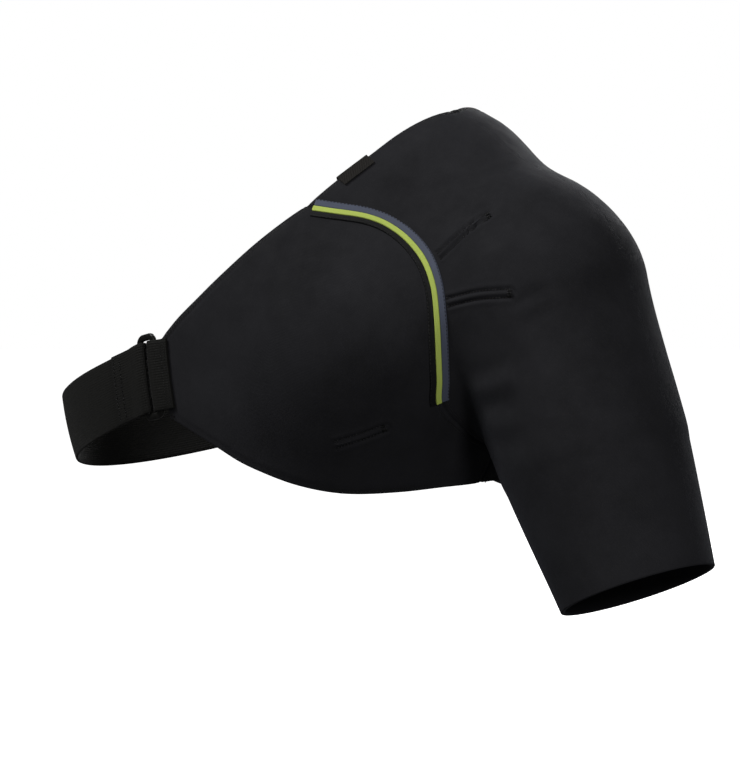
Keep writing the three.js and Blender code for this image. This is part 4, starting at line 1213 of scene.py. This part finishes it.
def build_threads():
    runs = []
    for line in DART_LINES:
        for side in (-1, 1):
            runs.append(stitches_along(offset_line(line, side * DART_HALF), 2.1, lift=0.25))
        end, before = line[-1], line[-3]
        across = offset_line(line, DART_HALF)[-1] - offset_line(line, -DART_HALF)[-1]
        for step in (0.0, 0.9, 1.8):
            base = end + unit(before - end) * step
            bar = np.array([base - across / 2, base, base + across / 2])
            runs.append(stitches_along(on_body(bar)[0], 1.3, lift=0.3))
    finished(thread_mesh("dart_thread", runs, 0.38), "thread", None)

    runs = []
    for side in (-1, 1):
        middle = (UPPER[side].mean(axis=0) + LOWER[side].mean(axis=0)) / 2
        for line, towards in ((NECKS[side], middle), (LOWER[side], middle), (ARCHES[side], SHOULDER)):
            runs += zigzag_along(line, towards, 2.4, 0.7, 5.0)
    finished(thread_mesh("edge_thread", runs, 0.2), "thread", None)

    runs = []
    for offset in (-3.2, 3.2):
        runs.append(stitches_along(offset_line(SEAMS[1], offset), 2.3))
        runs.append(stitches_along(offset_line(SIDE_SEAM, offset), 2.3))
    low_seam = SEAMS[-1][int(len(SEAMS[-1]) * TAPE_END):]
    for offset in (-3.2, 3.2):
        runs.append(stitches_along(offset_line(low_seam, offset), 2.3))
    taped = SEAMS[-1][int(len(SEAMS[-1]) * TAPE_START):int(len(SEAMS[-1]) * TAPE_END)]
    for offset in (-0.62, 0.31):
        runs.append(stitches_along(offset_line(taped, -offset * TAPE_WIDTH), 2.2, height=NEOPRENE + 0.62))
    finished(thread_mesh("seam_thread", runs, 0.24), "thread", None)

    runs = []
    half = WEBBING_WIDTH / 2 - 2
    over_strap = 2 * WEBBING + GAP + 0.05
    for back in (2.5, 9.0):
        runs.append(strap_stitches(RING_AT + BAR_AT + STRAP_FOLD - back, -half, half, 30, over_strap, 0.7))
    over_panel = NEOPRENE + GAP + ANCHOR_WEBBING + 0.05
    for place in (2.0, 5.0, 9.5):
        runs.append(strap_stitches(FRONT_END - ANCHOR_LEG + place, -half, half, 24, over_panel))
    over_back = NEOPRENE + GAP + WEBBING + 0.05
    for place in (2.5, STRAP_OVERLAP - 5):
        runs.append(strap_stitches(BACK_END + STRAP_OVERLAP - place, -half, half, 24, over_back))
    finished(thread_mesh("strap_thread", runs, 0.24), "thread", None)


build_sleeve()
for panel_side in (-1, 1):
    build_panel(panel_side)
for tape_name in TAPE_BANDS:
    finished(tape_object(tape_name), tape_name, tape_name, tape_name)
tab_points, tab_uv = tab_stations()
tab = finished(loft_mesh("tab_cloth", tab_points, False, True, tab_uv), "tab", "tab_cloth", "edge_tab")
build_webbing()
finished(loft_mesh("ring_plastic", ring_stations(), True, False), "plastic", "ring_plastic", "strap_ring")
build_threads()


# Floor, lights and camera

WORLD_LIGHT = 0.08


def studio():
    sides, radius = 96, 14.0
    ring = [(radius * math.cos(a), radius * math.sin(a), 0) for a in np.linspace(0, 2 * math.pi, sides, endpoint=False)]
    mesh = bpy.data.meshes.new("floor")
    mesh.from_pydata(ring, [], [tuple(range(sides))])
    floor = bpy.data.objects.new("floor", mesh)
    floor.location = (0, 0, -0.46)
    bpy.context.scene.collection.objects.link(floor)
    material, nodes, links, shader = new_material("pale_floor", (0.93, 0.93, 0.93), 0.9, 0, 0.5, 0.1)
    shader.inputs["Emission Color"].default_value = (1, 1, 1, 1)
    shader.inputs["Emission Strength"].default_value = 1.0
    mesh.materials.append(material)
    floor.visible_diffuse = False
    floor.visible_glossy = False
    world = bpy.data.worlds.new("studio")
    world.use_nodes = True
    world.node_tree.nodes["Background"].inputs["Color"].default_value = (1, 1, 1, 1)
    world.node_tree.nodes["Background"].inputs["Strength"].default_value = WORLD_LIGHT
    bpy.context.scene.world = world
    backdrop_dome()


def backdrop_dome():
    """A white backdrop all round, which the camera sees and which sheds no light on the object."""
    around, up, radius = 48, 12, 13.0
    points = [(radius * math.cos(a) * math.cos(e), radius * math.sin(a) * math.cos(e), radius * math.sin(e))
              for e in np.linspace(-0.2, math.pi / 2 * 0.98, up)
              for a in np.linspace(0, 2 * math.pi, around, endpoint=False)]
    faces = [(r * around + k, r * around + (k + 1) % around, (r + 1) * around + (k + 1) % around, (r + 1) * around + k)
             for r in range(up - 1) for k in range(around)]
    faces.append(tuple(range((up - 1) * around, up * around)))
    mesh = bpy.data.meshes.new("backdrop")
    mesh.from_pydata(points, [], faces)
    dome = bpy.data.objects.new("backdrop", mesh)
    bpy.context.scene.collection.objects.link(dome)
    material = bpy.data.materials.new("white_backdrop")
    material.use_nodes = True
    tree = material.node_tree
    tree.nodes.clear()
    emission = tree.nodes.new("ShaderNodeEmission")
    emission.inputs["Strength"].default_value = 1.0
    output = tree.nodes.new("ShaderNodeOutputMaterial")
    tree.links.new(emission.outputs[0], output.inputs["Surface"])
    mesh.materials.append(material)
    for ray in ("diffuse", "glossy", "transmission", "volume_scatter", "shadow"):
        setattr(dome, "visible_" + ray, False)


def area_light(name, place, aim, size, power, colour=(1, 1, 1)):
    light = bpy.data.lights.new(name, "AREA")
    light.shape = "RECTANGLE"
    light.size, light.size_y = size
    light.energy = power
    light.color = colour
    obj = bpy.data.objects.new(name, light)
    obj.location = place
    direction = np.array(aim) - np.array(place)
    from mathutils import Vector
    obj.rotation_euler = Vector(direction).to_track_quat("-Z", "Y").to_euler()
    bpy.context.scene.collection.objects.link(obj)
    return obj


CAMERA_TARGET = (-0.1158, 0.0250, -0.1637)
CAMERA_AZIMUTH, CAMERA_ELEVATION, CAMERA_DISTANCE = 40.0, 2.0, 2.1
FOCAL_PIXELS, FRAME_PIXELS, SENSOR = 3182.0, 764.0, 36.0


def photo_camera():
    from mathutils import Vector
    azimuth, elevation = math.radians(CAMERA_AZIMUTH), math.radians(CAMERA_ELEVATION)
    back = Vector((math.sin(azimuth) * math.cos(elevation), -math.cos(azimuth) * math.cos(elevation), math.sin(elevation)))
    data = bpy.data.cameras.new("camera")
    data.sensor_width = SENSOR
    data.sensor_fit = "AUTO"
    data.lens = FOCAL_PIXELS / FRAME_PIXELS * SENSOR
    data.clip_end = 100
    camera = bpy.data.objects.new("camera", data)
    camera.location = Vector(CAMERA_TARGET) + back * CAMERA_DISTANCE
    camera.rotation_euler = (-back).to_track_quat("-Z", "Y").to_euler()
    bpy.context.scene.collection.objects.link(camera)
    bpy.context.scene.camera = camera


studio()
AIM = (-0.06, 0.0, -0.14)
area_light("key", (-1.1, -1.6, 1.9), AIM, (0.9, 0.7), 50)
area_light("top", (0.3, 0.3, 2.0), AIM, (1.4, 1.4), 5)
area_light("side", (2.3, -1.5, 0.75), AIM, (0.7, 0.7), 27)
area_light("back", (-0.7, 2.4, 1.1), AIM, (1.2, 1.2), 32)
photo_camera()
bpy.context.scene.view_settings.view_transform = "Standard"
bpy.context.scene.view_settings.look = "None"
